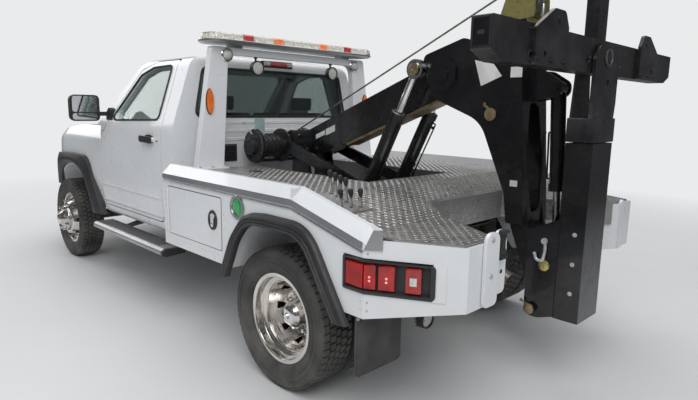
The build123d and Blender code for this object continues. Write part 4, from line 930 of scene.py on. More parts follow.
def roofBrakeLamp(look):
    half, red, y, depth = look["half"], look["red"], look["y"], look["depth"]
    low, high = look["low"], look["high"]
    section = rounded([(y, low, 0.004), (y + depth, low + 0.006, 0.008), (y + depth - 0.006, high, 0.008),
                       (y, high, 0)])
    for name, start, end, coat, slot in (("White_right", -half, -red, paleLens, "clear_lens"),
                                         ("Red", -red, red, redLens, "red_lens"),
                                         ("White_left", red, half, paleLens, "clear_lens")):
        mesh = bmesh.new()
        addPrism(mesh, section, "x", start + 0.001, end - 0.001)
        piece("roofBrake" + name, mesh, coat, slot=slot)
    rim = bmesh.new()
    addPrism(rim, plate(-half - 0.01, low - 0.008, half + 0.01, high + 0.008, 0.01), "y", y - 0.002,
             y + depth * 0.62)
    piece("roofBrakeGasket", rim, blackRubberAndShade, slot="dark_rubber", bevel=0.002)


roofBrakeLamp(brakeLamp)


# Cab back: louvred outlet and pressed ribs

backLook = dict(
    y=2.17, ventLow=(0.43, 1.134), ventHigh=(0.545, 1.272), slats=6, slatPitch=0.0215,
    ribs=(1.31, 1.378, 1.446), ribHalf=0.78, seal=0.011,
    window=[(0.792, 1.492, 0.05), (0.716, 1.868, 0.06), (-0.716, 1.868, 0.06), (-0.792, 1.492, 0.05)])


def cabBack(look):
    vent, ribs, seal = bmesh.new(), bmesh.new(), bmesh.new()
    (x0, z0), (x1, z1), y = look["ventLow"], look["ventHigh"], look["y"]
    addPrism(vent, plate(x0, z0, x1, z1, 0.008), "y", y - 0.003, y + 0.007)
    for step in range(look["slats"]):
        z = z0 + 0.014 + step * look["slatPitch"]
        slat = [(y + 0.004, z), (y + 0.017, z - 0.003), (y + 0.017, z + 0.002), (y + 0.004, z + 0.015)]
        addPrism(vent, slat, "x", x0 + 0.008, x1 - 0.008)
    piece("cabVent", vent, darkPlastic, slot="black_plastic")
    for z in look["ribs"]:
        rib = rounded([(y - 0.006, z - 0.02, 0), (y + 0.0045, z - 0.011, 0.006),
                       (y + 0.0045, z + 0.011, 0.006), (y - 0.006, z + 0.02, 0)])
        addPrism(ribs, rib, "x", -look["ribHalf"], look["ribHalf"])
    piece("cabBackRibs", ribs, whitePaint, slot="white_paint")
    # above 1.6 m the window leans forward
    addLoop(seal, [at(x, y - 0.004 - max(0, z - 1.6) * 0.04, z) for x, z in rounded(look["window"], 6)],
            look["seal"], 8)
    piece("rearWindowSeal", seal, blackRubberAndShade, slot="dark_rubber")


cabBack(backLook)
print("markers, lamps and the cab's back made")


# Side rails: grey stripe, bright moulding and the grey cap at the rear end

railLook = dict(
    face=1.196, frontY=2.418, breakY=3.84, endY=4.352, stripeLow=1.078, stripeHigh=1.11, endLow=0.947,
    endHigh=0.982, topX=1.134, topZ=1.045, innerX=1.106, proud=0.0012, moulding=0.0055, cap=0.0035,
    tip=[(1.196, 0.947), (1.19, 0.972), (1.1745, 1.042), (1.153, 1.045), (1.153, 0.95)])


def railTrim(side, sideName):
    look = railLook
    face, low = look["face"], look["stripeLow"]
    bottom = [(look["frontY"], low), (look["breakY"], low - 0.004), (look["endY"], look["endLow"])]
    top = (look["stripeHigh"], look["stripeHigh"], look["endHigh"])
    inner, outer = side * (face - 0.003), side * (face + look["proud"])
    stripe, mould, tip, cap = (bmesh.new() for _ in range(4))
    skin(stripe, [[at(inner, y, low), at(outer, y, low), at(outer, y, high), at(inner, y, high)]
                  for (y, low), high in zip(bottom, top)])
    piece("railStripe_" + sideName, stripe, stripeGrey, slot="grey_trim")
    addTube(mould, [at(inner, y, z - 0.013) for y, z in bottom], look["moulding"], 8)
    piece("railMoulding_" + sideName, mould, brightTrim, slot="bare_steel")
    section = [(face, look["endLow"]), (face, look["endHigh"] + 0.003), (look["topX"], look["topZ"]),
               (look["innerX"], look["topZ"]), (look["innerX"], look["endLow"])]
    slant = tailTurn.y / -tailTurn.x
    tipped = [at(side * x, tailLook["cornerY"] + (face - x) * slant, z) for x, z in look["tip"]]
    skin(tip, [[at(side * x, look["endY"] - 0.012, z + 0.003) for x, z in section], tipped])
    piece("railTip_" + sideName, tip, whitePaint, slot="white_paint")
    out = Vector((side * tailOut.x, tailOut.y, 0)) * look["cap"]
    skin(cap, [[point - out * 0.3 for point in tipped], [point + out for point in tipped]])
    piece("railCap_" + sideName, cap, smoothMetal, slot="bare_steel", bevel=0.001)


bothSides(railTrim)


# Tool-box doors: latch dish with its paddle, rows of rivets

latch = dict(
    y=3.07, z=0.88, halfWide=0.05, halfTall=0.062, knob=-0.024, faceX=(1.1955, 1.2025),
    dish=((0, 1.192), (0, 1.1985), (0.06, 1.2015), (0.16, 1.2015), (0.24, 1.197), (0.9, 1.1955)),
    paddle=[(-0.015, -0.044, 0.01), (0.013, -0.044, 0.01), (0.018, 0.012, 0.008), (0.034, 0.03, 0.01),
            (0.014, 0.045, 0.012), (-0.02, 0.036, 0.012)])
# each row of rivets is (y, z, step along y, step along z, count, radius)
boxLook = dict(
    face=1.1898,
    rows=[(2.452, 0.664, 0, 0.045, 9, 0.0048), (2.5, 0.668, 0.047, 0, 14, 0.0042),
          (3.19, 0.66, 0, 0.09, 5, 0.0042)], cornerY=4.342, cornerRivets=(0.66, 0.7, 0.93),
    hinge=(1.1995, 2.492, 0.722), knuckles=12, knucklePitch=0.0245, knuckleLong=0.0225, hingeSize=0.0078,
    door=(2.4835, 0.7005, 3.1645, 1.0295))


def boxTrim(side, sideName):
    look, door, out = boxLook, f"toolbox_door_{sideName}", (side, 0, 0)
    y, z = latch["y"], latch["z"]
    dish, paddle, rivets, hinge, gap = (bmesh.new() for _ in range(5))
    skin(dish, [[at(side * x, u, v) for u, v in ellipse(y, z, latch["halfWide"] * (1 - shrink),
                                                        latch["halfTall"] * (1 - shrink))]
                for shrink, x in latch["dish"]])
    piece("latchDish_" + sideName, dish, blackRubberAndShade, door, slot="dark_rubber", angle=50)
    addPrism(paddle, rounded([(y + u, z + v, radius) for u, v, radius in latch["paddle"]]), "x",
             *(side * x for x in latch["faceX"]))
    addTurned(paddle, [(0, 0), (0, 0.0105), (0.004, 0.0095), (0.006, 0)],
              at(side * 1.2015, y, z + latch["knob"]), out, 20)
    piece("latchPaddle_" + sideName, paddle, chrome, door, slot="chrome", bevel=0.0016, angle=50)
    for y, z, alongY, alongZ, count, radius in look["rows"]:
        for step in range(count):
            addRivet(rivets, at(side * look["face"], y + step * alongY, z + step * alongZ), out, radius)
    for z in look["cornerRivets"]:
        addRivet(rivets, at(side * look["face"], look["cornerY"], z), out, 0.0042)
        addRivet(rivets, tailPoint(side, 0.02, -0.0035, z), (side * tailOut.x, tailOut.y, 0), 0.0042)
    piece("bodyRivets_" + sideName, rivets, smoothMetal, slot="bare_steel")
    x, y, foot = look["hinge"]
    for step in range(look["knuckles"]):
        z = foot + step * look["knucklePitch"]
        addRod(hinge, at(side * x, y, z), at(side * x, y, z + look["knuckleLong"]), look["hingeSize"], 12)
    piece("doorHinge_" + sideName, hinge, whitePaint, slot="white_paint")
    # a thin black tube round the door paints the shade in its gap
    addLoop(gap, [at(side * 1.1897, y, z) for y, z in plate(*look["door"], 0.012, steps=3)], 0.0018, 6)
    piece("doorGapShade_" + sideName, gap, blackRubberAndShade, slot="dark_rubber")


bothSides(boxTrim)


# Strap plates with their rubber latch at the left tail corner, and the mudflap bolts

# each plate is (x0, x1, low, high, y0, y1)
strapLook = dict(
    plates=((0.752, 0.862, 0.7, 1.043, 4.7685, 4.787), (0.642, 0.744, 0.728, 1.036, 4.744, 4.76)),
    web=[(0.734, 4.69), (0.745, 4.69), (0.757, 4.775), (0.734, 4.758)], webTall=(0.76, 0.985),
    bolts=((0.815, 4.787, 1.012), (0.815, 4.787, 0.845), (0.668, 4.76, 1.004)), hole=(0.682, 4.76, 0.835),
    middleX=0.706, deep=(4.762, 4.783),
    half=[(0.026, 0.9), (0.028, 0.93), (0.014, 0.955), (0.013, 0.985), (0.024, 1.015), (0.022, 1.04)],
    bars=((0.028, 4.785, 1.03, 0.009), (0.026, 4.783, 0.914, 0.008)))


def strapPlates(look):
    mesh, bolts, hole, strap = (bmesh.new() for _ in range(4))
    rear = (0, 1, 0)
    for x0, x1, low, high, y0, y1 in look["plates"]:
        addPrism(mesh, plate(x0, low, x1, high, 0.034, 0.05, 6), "y", y0, y1)
    addPrism(mesh, look["web"], "z", *look["webTall"])
    piece("strapPlates_left", mesh, whitePaint, slot="white_paint", bevel=0.0025, angle=40)
    for spot in look["bolts"]:
        addBolt(bolts, at(*spot), rear, 0.008, 0.006)
    piece("strapBolts_left", bolts, hookZinc, slot="zinc_gold")
    # a thin black disc paints the shade inside the hole
    addTurned(hole, [(0, 0), (0, 0.011), (0.0009, 0.0105), (0.0009, 0)], at(*look["hole"]), rear, 18)
    piece("strapHoleShade_left", hole, blackRubberAndShade, slot="dark_rubber")
    middle, half = look["middleX"], look["half"]
    outline = [(middle + w, z) for w, z in half] + [(middle - w, z) for w, z in reversed(half)]
    addPrism(strap, outline, "y", *look["deep"])
    for reach, y, z, radius in look["bars"]:
        addRod(strap, at(middle - reach, y, z), at(middle + reach, y, z), radius, 12)
    piece("strapLatch_left", strap, blackRubberAndShade, slot="dark_rubber", bevel=0.003, angle=60)


flapLook = dict(
    bolts=[(1.168, 4.3102, 0.6), (0.88, 4.3352, 0.603), (0.98, 4.3352, 0.603), (1.08, 4.3352, 0.603)],
    face=(0.856, 0.312, 1.174, 0.584), deep=(4.3095, 4.3122))


def mudflapTrim(side, sideName):
    look = flapLook
    bolts, stiffener = bmesh.new(), bmesh.new()
    for x, y, z in look["bolts"]:
        addBolt(bolts, at(side * x, y, z), (0, 1, 0), 0.008, 0.005)
    piece("mudflapBolts_" + sideName, bolts, hookZinc, slot="zinc_gold")
    x0, low, x1, high = look["face"]
    addPrism(stiffener, plate(side * x0, low, side * x1, high, 0.02, 0.006), "y", *look["deep"])
    piece("mudflapFace_" + sideName, stiffener, blackRubberAndShade, slot="dark_rubber", bevel=0.001)


strapPlates(strapLook)
bothSides(mudflapTrim)
print("body trim made")


# Valve levers: plate with its slots painted as black shade, seven rods and their knobs

leverLook = dict(
    plateLow=(0.858, 3.842), plateHigh=(1.062, 4.096), rise=0.006, knob=0.015, slotReach=0.017,
    slotHalf=0.0095, slotDeep=0.002, lean=0.02, leanTall=0.104, rod=0.0045,
    spots=[(0.93, 3.868, 0.104), (0.93, 3.908, 0.104), (0.93, 3.948, 0.104), (0.93, 3.988, 0.104),
           (1.02, 4.04, 0.072), (0.96, 4.052, 0.072), (0.9, 4.064, 0.072)])


def levers(look):
    panel, slots, rods, knobs = (bmesh.new() for _ in range(4))
    (x0, y0), (x1, y1) = look["plateLow"], look["plateHigh"]
    corners = [(y0, deckHeight(y0, deckShape) + 0.0003), (y1, deckHeight(y1, deckShape) + 0.0003),
               (y1, deckHeight(y1, deckShape) + look["rise"]),
               (y0, deckHeight(y0, deckShape) + look["rise"])]
    addPrism(panel, corners, "x", x0, x1)
    piece("leverPlate", panel, treadMetal, slot="tread_plate", bevel=0.0015, standsFor=("control_levers",))
    down = Vector((0, 0.11 * 2.27, -0.065)).normalized() * look["slotReach"]
    across = Vector((look["slotHalf"], 0, 0))
    ball = look["knob"]
    profile = [(-0.028, 0), (-0.028, 0.007), (-0.016, 0.0095), (-0.002, ball * 0.93), (0.006, ball),
               (0.014, ball * 0.86), (0.0195, ball * 0.45), (0.021, 0)]
    for x, y, tall in look["spots"]:
        foot = deckHeight(y, deckShape) + look["rise"]
        middle = at(x, y - 0.003, foot + 0.0008)
        # thin black plates a little proud of the lever plate paint the shade inside the slots
        skin(slots, [[middle + corner - Vector((0, 0, deep)) for corner in
                      (-down - across, down - across, down + across, across - down)]
                     for deep in (look["slotDeep"], 0)])
        start, end = at(x, y, foot - 0.004), at(x, y - look["lean"] * tall / look["leanTall"], foot + tall)
        addRod(rods, start, end, look["rod"], 14)
        up = (end - start).normalized()
        addTurned(knobs, profile, end + up * 0.008, up, 24)
    piece("leverSlotShade", slots, blackRubberAndShade, slot="dark_rubber")
    piece("leverRods", rods, stepMetal, slot="bare_steel", standsFor=("control_levers",))
    piece("leverKnobs", knobs, blackRubberAndShade, slot="dark_rubber", standsFor=("control_levers",))


levers(leverLook)


# Light bar: tray, clear dome and the lamps inside it

barLook = dict(
    halfWide=0.842, middleY=2.383, halfDeep=0.133, cornerRound=0.12, foot=2.026, seam=2.05, top=2.098,
    tones="wwrwwawwwwawwrww", endGap=0.1, feet=(-0.56, 0.56), footHalf=0.04, footDeep=(2.32, 2.417),
    footTall=(2.0053, 2.03), lampHalf=0.42, lampGap=0.03, lampDeep=0.022)


def barPlan(shrink, z):
    look = barLook
    w, d, r = look["halfWide"] - shrink, look["halfDeep"] - shrink, look["cornerRound"] - shrink
    middle = look["middleY"]
    return [at(x, y, z) for x, y in plate(-w, middle - d, w, middle + d, r, steps=8)]


def lightBar(look):
    tray, dome = bmesh.new(), bmesh.new()
    foot, seam, top = look["foot"], look["seam"], look["top"]
    skin(tray, [barPlan(shrink, z) for shrink, z in ((0.016, foot), (0.002, foot + 0.008),
                                                     (0, seam - 0.004), (0.004, seam))])
    for x in look["feet"]:
        (y0, y1), (z0, z1) = look["footDeep"], look["footTall"]
        addBox(tray, (x - look["footHalf"], y0, z0), (x + look["footHalf"], y1, z1))
    piece("lightBarTray", tray, smoothMetal, slot="aluminium", angle=40, standsFor=("light_bar",))
    skin(dome, [barPlan(shrink, z) for shrink, z in ((0.006, seam + 0.0002), (0.006, top - 0.024),
                                                     (0.011, top - 0.01), (0.022, top - 0.002),
                                                     (0.034, top))])
    piece("lightBarDome", dome, barClear, slot="clear_lens", angle=40, standsFor=("light_bar",))
    start = -look["halfWide"] + look["endGap"]
    pitch = -2 * start / len(look["tones"])
    for key, name, coat, slot in (("r", "Red", redLens, "red_lens"), ("a", "Amber", amberLens, "clear_lens"),
                                  ("w", "White", paleLens, "clear_lens")):
        mesh = bmesh.new()
        for x in (start + (i + 0.5) * pitch for i, tone in enumerate(look["tones"]) if tone == key):
            for face in (-1, 1):
                y = look["middleY"] + face * (look["halfDeep"] - look["lampGap"])
                behind = y - face * look["lampDeep"]
                addBox(mesh, (x - pitch * look["lampHalf"], min(y, behind), seam + 0.002),
                       (x + pitch * look["lampHalf"], max(y, behind), top - 0.014))
        piece("lightBarLamps" + name, mesh, coat, slot=slot, bevel=0.002, standsFor=("light_bar",))


lightBar(barLook)
print("levers and light bar made")


# Doors: window seals, handle, lock, pressed creases and the mirrors

doorLook = dict(
    window=[(1.01, 1.436, 0.05), (1.385, 1.822, 0.12), (1.59, 1.878, 0.2), (1.905, 1.884, 0.05),
            (1.915, 1.462, 0.05)], seal=0.0085,
    handle=[(1.682, 1.288, 0.014), (1.7, 1.281, 0.01), (1.888, 1.279, 0.018), (1.888, 1.329, 0.018),
            (1.684, 1.334, 0.016)], handleX=(1.019, 1.0345), cup=(1.79, 1.306), cupHalf=(0.085, 0.036),
    cupRings=((0, 0.994), (0, 0.9995), (0.25, 0.9998)), lock=(0.9955, 1.925, 1.3),
    creases=((0.845, 0.0045, 1.0045), (0.7, 0.004, 0.993)), creaseY=(0.803, 1.978))
mirrorLook = dict(
    glassX=(1.098, 1.3), glassZ=((1.507, 1.641), (1.441, 1.495)), glassY=(1.0145, 1.0165),
    rimX=(1.092, 1.306), rimZ=((1.501, 1.646), (1.435, 1.501)), rimY=1.0155, rim=0.005,
    shellX=(1.072, 1.318), shellZ=(1.428, 1.652),
    shell=((0.928, 0.05), (0.931, 0.032), (0.941, 0.014), (0.962, 0.003), (0.99, 0), (1.014, 0)),
    armZ=1.49, armY=(0.945, 0.985), armHalf=0.018, armX=1.085,
    foot=[(0.925, 1.435), (1.03, 1.437), (1.03, 1.53), (0.985, 1.545), (0.925, 1.5)], footZ=(1.545, 1.43))


def cabFaceX(z):
    # the cab's side leans in above the belt
    return 0.9885 - max(0, z - 1.4) * 0.3413


def doorTrim(side, sideName):
    look, door, out = doorLook, "door_" + sideName, (side, 0, 0)
    seal, handle, cup, lock, crease = (bmesh.new() for _ in range(5))
    addLoop(seal, [at(side * (cabFaceX(z) + 0.0015), y, z) for y, z in rounded(look["window"], 7)],
            look["seal"], 8)
    piece("windowSeal_" + sideName, seal, blackRubberAndShade, door, slot="dark_rubber")
    addPrism(handle, rounded(look["handle"]), "x", *(side * x for x in look["handleX"]))
    piece("doorHandle_" + sideName, handle, darkPlastic, door, slot="black_plastic", bevel=0.004, angle=50)
    wide, tall = look["cupHalf"]
    skin(cup, [[at(side * x, y, z)
                for y, z in ellipse(*look["cup"], wide * (1 - shrink), tall * (1 - shrink))]
               for shrink, x in look["cupRings"]])
    piece("handleCup_" + sideName, cup, darkPlastic, door, slot="black_plastic")
    x, y, z = look["lock"]
    addTurned(lock, [(0, 0), (0, 0.011), (0.003, 0.01), (0.004, 0)], at(side * x, y, z), out, 20)
    piece("doorLock_" + sideName, lock, chrome, door, slot="chrome")
    for z, rise, x in look["creases"]:
        section = [(x - 0.006, z - 0.014), (x + rise, z - 0.002), (x + rise * 0.4, z + 0.01),
                   (x - 0.006, z + 0.012)]
        addPrism(crease, [(side * u, v) for u, v in section], "y", *look["creaseY"])
    piece("doorCrease_" + sideName, crease, whitePaint, door, slot="white_paint")
    mirrorTrim(side, sideName, mirrorLook, door)


def mirrorTrim(side, sideName, look, door):
    glass, rim, shell = (bmesh.new() for _ in range(3))
    x0, x1 = (side * x for x in look["glassX"])
    for low, high in look["glassZ"]:
        addPrism(glass, plate(x0, low, x1, high, 0.02, 0.026), "y", *look["glassY"])
    piece("mirrorGlass_" + sideName, glass, mirrorFace, door, slot="chrome")
    x0, x1 = (side * x for x in look["rimX"])
    for low, high in look["rimZ"]:
        addLoop(rim, [at(x, look["rimY"], z) for x, z in plate(x0, low, x1, high, 0.024, 0.03)],
                look["rim"], 8)
    piece("mirrorRim_" + sideName, rim, darkPlastic, door, slot="black_plastic")
    (x0, x1), (z0, z1) = look["shellX"], look["shellZ"]
    rings = []
    for y, shrink in look["shell"]:
        inner, outer, low, high = side * (x0 + shrink), side * (x1 - shrink), z0 + shrink, z1 - shrink
        outline = [(inner, low, 0.04), (outer, low, 0.045), (outer, high, 0.05), (inner, high, 0.045)]
        rings.append([at(x, y, z) for x, z in rounded(outline, 6)])
    skin(shell, rings)
    (y0, y1), z, half = look["armY"], look["armZ"], look["armHalf"]
    skin(shell, [[at(side * x, y, z + rise)
                  for y, rise in ((y0, -half), (y1, -half), (y1, half), (y0, half))]
                 for x in (cabFaceX(z) - 0.002, look["armX"])])
    high, low = look["footZ"]
    addPrism(shell, look["foot"], "x", side * (cabFaceX(high) - 0.01), side * (cabFaceX(low) + 0.01))
    piece("mirrorShell_" + sideName, shell, darkPlastic, door, slot="black_plastic", bevel=0.003, angle=40,
          standsFor=("mirror_" + sideName,))


bothSides(doorTrim)


# Running boards: bright rounded boards on dark brackets, with a ribbed pad and dark ends

boardLook = dict(
    section=[(0.965, 0.472, 0.006), (1.125, 0.462, 0.012), (1.151, 0.474, 0.016), (1.151, 0.506, 0.016),
             (1.122, 0.521, 0.014), (0.965, 0.517, 0.006)], middle=(1.058, 0.4935), endGrow=(1.012, 1.05),
    frontY=0.912, rearY=2.262, ribs=6, firstRib=0.984, ribPitch=0.0225, pad=(1.02, 2.12),
    brackets=(1.13, 1.99), bracketHalf=0.025,
    bracket=[(0.46, 0.6), (0.5, 0.6), (0.72, 0.5), (0.98, 0.462), (1.09, 0.462), (1.09, 0.474),
             (0.98, 0.482), (0.74, 0.545), (0.52, 0.64), (0.46, 0.64)])


def boardPads(side, sideName):
    look = boardLook
    board, pads, ends, arms = (bmesh.new() for _ in range(4))
    section, front, rear = rounded(look["section"], 6), look["frontY"], look["rearY"]
    addPrism(board, [(side * u, v) for u, v in section], "y", front, rear)
    piece("runningBoard_" + sideName, board, stepMetal, slot="aluminium", angle=40,
          standsFor=("running_boards",))
    for i in range(look["ribs"]):
        x = look["firstRib"] + i * look["ribPitch"]
        z = 0.5176 + (x - 0.965) * 0.026
        rib = [(x - 0.006, z - 0.003), (x + 0.006, z - 0.003), (x + 0.0048, z + 0.0018),
               (x - 0.0048, z + 0.0018)]
        addPrism(pads, [(side * u, v) for u, v in rib], "y", *look["pad"])
    piece("boardPads_" + sideName, pads, darkPlastic, slot="dark_rubber")
    (x, z), (growX, growZ) = look["middle"], look["endGrow"]
    grown = [(side * (x + (u - x) * growX), z + (v - z) * growZ) for u, v in section]
    for y0, y1 in ((front - 0.009, front + 0.004), (rear - 0.02, rear + 0.012)):
        addPrism(ends, grown, "y", y0, y1)
    piece("boardEnds_" + sideName, ends, darkPlastic, slot="black_plastic", bevel=0.003, angle=50)
    for y in look["brackets"]:
        addPrism(arms, [(side * u, v) for u, v in look["bracket"]], "y", y - look["bracketHalf"],
                 y + look["bracketHalf"])
    piece("boardBrackets_" + sideName, arms, chassisBlack, slot="chassis_black", bevel=0.003, angle=40,
          standsFor=("running_boards",))


bothSides(boardPads)
print("door trim and running boards made")


# Boom details: rope and hook, tray, pins, plain labels, cylinder lines

boomLook = dict(foot=(2.48, 1.32696), slope=0.388, side=0.075, armSide=0.143)
ropeLook = dict(
    track=[(2.362, 1.353, 0), (4.404, 2.282, 0.07), (4.533, 2.283, 0.08), (4.533, 2.04, 0)], strands=6,
    lay=0.062, offset=0.0036, strand=0.0027, drumY=2.362, drumZ=1.262, drumHalf=0.113, wound=0.0845,
    core=0.064, turns=17, turnSteps=28, turnPitch=0.0125, turnSize=0.0061, firstTurn=0.006)


def boomPoint(x, station, height):
    run = Vector((1, boomLook["slope"])).normalized()
    y = boomLook["foot"][0] + station * run.x - height * run.y
    return at(x, y, boomLook["foot"][1] + station * run.y + height * run.x)


def rope(look):
    mesh, coil = bmesh.new(), bmesh.new()
    line = evenly([at(0, y, z) for y, z in rounded(look["track"], 8)], 380)
    step = (line[1] - line[0]).length
    for strand in range(look["strands"]):
        points = []
        for i, middle in enumerate(line):
            along = (line[min(i + 1, len(line) - 1)] - line[max(i - 1, 0)]).normalized()
            up = Vector((1, 0, 0)).cross(along)
            turn = 2 * pi * (strand / look["strands"] + i * step / look["lay"])
            points.append(middle + (Vector((1, 0, 0)) * cos(turn) + up * sin(turn)) * look["offset"])
        addTube(mesh, points, look["strand"], 6)
    piece("ropeStrands", mesh, ropeSteel, "boom", slot="steel_rope", standsFor=("winch_rope",), angle=60)
    centre = at(0, look["drumY"], look["drumZ"])
    half, core, wound, steps = look["drumHalf"], look["core"], look["wound"], look["turnSteps"]
    addTurned(coil, [(-half, core), (-half, wound - 0.002), (half, wound - 0.002), (half, core)], centre,
              steps=40)
    points = []
    for i in range(look["turns"] * steps + 1):
        turn = 2 * pi * i / steps
        x = -half + look["firstTurn"] + look["turnPitch"] * i / steps
        points.append(centre + Vector((x, wound * cos(turn), wound * sin(turn))))
    addTube(coil, points, look["turnSize"], 8)
    piece("ropeCoil", coil, ropeSteel, "boom", slot="steel_rope", angle=60)


rope(ropeLook)


# the hook's curve is (x, height under the rope's end, radius)
hookLook = dict(
    y=4.533, top=2.045, eyeHalf=(0.026, 0.036), eyeWire=0.0085, shank=(-0.068, -0.105), shankSize=0.017,
    curve=[(0, -0.1, 0.013), (0.002, -0.125, 0.0135), (0.02, -0.15, 0.014), (0.042, -0.172, 0.0155),
           (0.046, -0.203, 0.016), (0.028, -0.228, 0.0155), (-0.002, -0.234, 0.0145),
           (-0.03, -0.218, 0.013), (-0.042, -0.192, 0.011), (-0.043, -0.168, 0.007)],
    latch=[(0.006, -0.118), (0.012, -0.128), (-0.036, -0.186), (-0.042, -0.178)], latchHalf=0.006,
    sleeve=[(-0.055, 0), (-0.055, 0.0085), (-0.045, 0.011), (0.02, 0.011), (0.03, 0.0085), (0.03, 0)],
    sleeveRise=0.075)


def hookSet(look):
    hook, sleeve = bmesh.new(), bmesh.new()
    y, top = look["y"], look["top"]
    wide, tall = look["eyeHalf"]
    turns = [2 * pi * i / 20 for i in range(21)]
    addTube(hook, [at(wide * cos(a), y, top - tall + tall * sin(a)) for a in turns], look["eyeWire"], 10)
    addRod(hook, *(at(0, y, top + z) for z in look["shank"]), look["shankSize"], 18)
    curve = [(at(x, y, top + z), size) for x, z, size in look["curve"]]
    for (first, low), (second, high) in zip(curve, curve[1:]):
        addRod(hook, first, second, low, 16, high)
        addTurned(hook, [(-high, 0), (-high * 0.7, high * 0.72), (0, high), (high * 0.7, high * 0.72),
                         (high, 0)], second, (0, 1, 0), 16)
    addPrism(hook, [(x, top + z) for x, z in look["latch"]], "y", y - look["latchHalf"],
             y + look["latchHalf"])
    piece("ropeHook", hook, zincGold, "boom", slot="zinc_gold", angle=40)
    addTurned(sleeve, look["sleeve"], at(0, y, top + look["sleeveRise"]), (0, 0, 1), 20)
    piece("ropeSleeve", sleeve, smoothMetal, "boom", slot="aluminium")


hookSet(hookLook)


# the tray's section is (x, height over the boom's middle line)
trayLook = dict(
    section=[(-0.066, -0.2262), (0.066, -0.2262), (0.066, -0.244), (0.062, -0.2475), (-0.062, -0.2475),
             (-0.066, -0.244)], ends=(0.56, 1.56), boltX=0.045, boltFoot=-0.2475,
    bolts=(0.6, 0.9, 1.2, 1.5))


def boomTray(look):
    mesh = bmesh.new()
    skin(mesh,
         [[boomPoint(x, station, height) for x, height in look["section"]] for station in look["ends"]])
    for station in look["bolts"]:
        for x in (-look["boltX"], look["boltX"]):
            addBolt(mesh, boomPoint(x, station, look["boltFoot"]), (0, boomLook["slope"], -1), 0.006, 0.004)
    piece("boomTray", mesh, pinSteel, "boom", slot="zinc_gold", angle=40)


boomTray(trayLook)


def addPinEnd(mesh, place, out, radius, lift=0.008):
    # a turned pin end with its shoulder, chamfer and centre mark
    profile = [(-0.003, 0), (-0.003, radius * 1.02), (lift * 0.3, radius * 1.02),
               (lift * 0.3, radius * 0.94), (lift * 0.8, radius * 0.94), (lift, radius * 0.82),
               (lift, radius * 0.22), (lift * 0.6, radius * 0.16), (lift * 0.6, 0)]
    addTurned(mesh, profile, place, out, 40)


# pins are (x, y, z, radius); a keeper leaves its pin by (alongY, alongZ)
pinLook = dict(
    boom=((0.151, 4.335, 1.552, 0.036), (0.156, 4.65, 0.487, 0.03)), stinger=(0.1375, 4.712, 0.746, 0.03),
    lift=(0.2045, 3.81, 1.82, 0.038), keepers=((-0.028, 0.046), (-0.034, 0.03)), keeperX=(0.143, 0.15))
labelLook = dict(
    arm=([(4.211, 1.859), (4.336, 1.831), (4.39, 1.764), (4.26, 1.712)],
         [(4.442, 1.755), (4.511, 1.755), (4.511, 1.811), (4.442, 1.811)],
         [(4.48, 1.158), (4.525, 1.158), (4.525, 1.192), (4.48, 1.192)]),
    boom=([(2.751, 1.33), (2.855, 1.37), (2.855, 1.405), (2.751, 1.365)],
          [(2.866, 1.364), (2.969, 1.402), (2.969, 1.45), (2.866, 1.412)]))
# each line on a lift cylinder is (share of the reach, start and end along the barrel)
liftLook = dict(
    low=(3.38, 0.965), high=(3.81, 1.82), x=0.172, apart=0.014, lines=((1, 0.1, 0.6), (0.82, 0.1, 0.3)),
    near=0.044, far=0.066, clip=0.058, line=0.0055, glandAt=0.655,
    gland=[(-0.03, 0.03), (-0.03, 0.0495), (-0.006, 0.0495), (0, 0.046), (0.006, 0.04), (0.006, 0.03)])


def pins(side, sideName):
    look, out = pinLook, Vector((side, 0, 0))
    mesh, foot, eye, label = (bmesh.new() for _ in range(4))
    for x, y, z, radius in look["boom"]:
        addPinEnd(mesh, at(side * x, y, z), out, radius)
    for (_, y, z, _), (alongY, alongZ) in zip(look["boom"], look["keepers"]):
        farY, farZ, nearY, nearZ = y + alongY * 1.5, z + alongZ * 1.4, y + alongY * 0.5, z + alongZ * 0.5
        addPrism(mesh, [(farY - 0.012, farZ - 0.012), (farY + 0.012, farZ - 0.012),
                        (nearY + 0.012, nearZ + 0.008), (nearY - 0.012, nearZ + 0.008)], "x",
                 *(side * x for x in look["keeperX"]))
        addBolt(mesh, at(side * look["keeperX"][1], y + alongY * 1.4, z + alongZ * 1.3), out, 0.006, 0.005)
    piece("boomPins_" + sideName, mesh, pinSteel, "boom", slot="zinc_gold", angle=40)
    x, y, z, radius = look["stinger"]
    addPinEnd(foot, at(side * x, y, z), out, radius, 0.01)
    piece("stingerPin_" + sideName, foot, zincGold, "stinger", slot="zinc_gold", angle=40)
    x, y, z, radius = look["lift"]
    addPinEnd(eye, at(side * x, y, z), out, radius, 0.007)
    piece("liftEyePin_" + sideName, eye, pinSteel, "lift_rods", slot="zinc_gold", angle=40)
    for face, outlines in ((boomLook["armSide"], labelLook["arm"]), (boomLook["side"], labelLook["boom"])):
        for corners in outlines:
            addPrism(label, corners, "x", side * (face - 0.0005), side * (face + 0.0007))
    piece("boomLabels_" + sideName, label, plainLabel, "boom", slot="white_paint")
    liftTrim(side, sideName, liftLook)


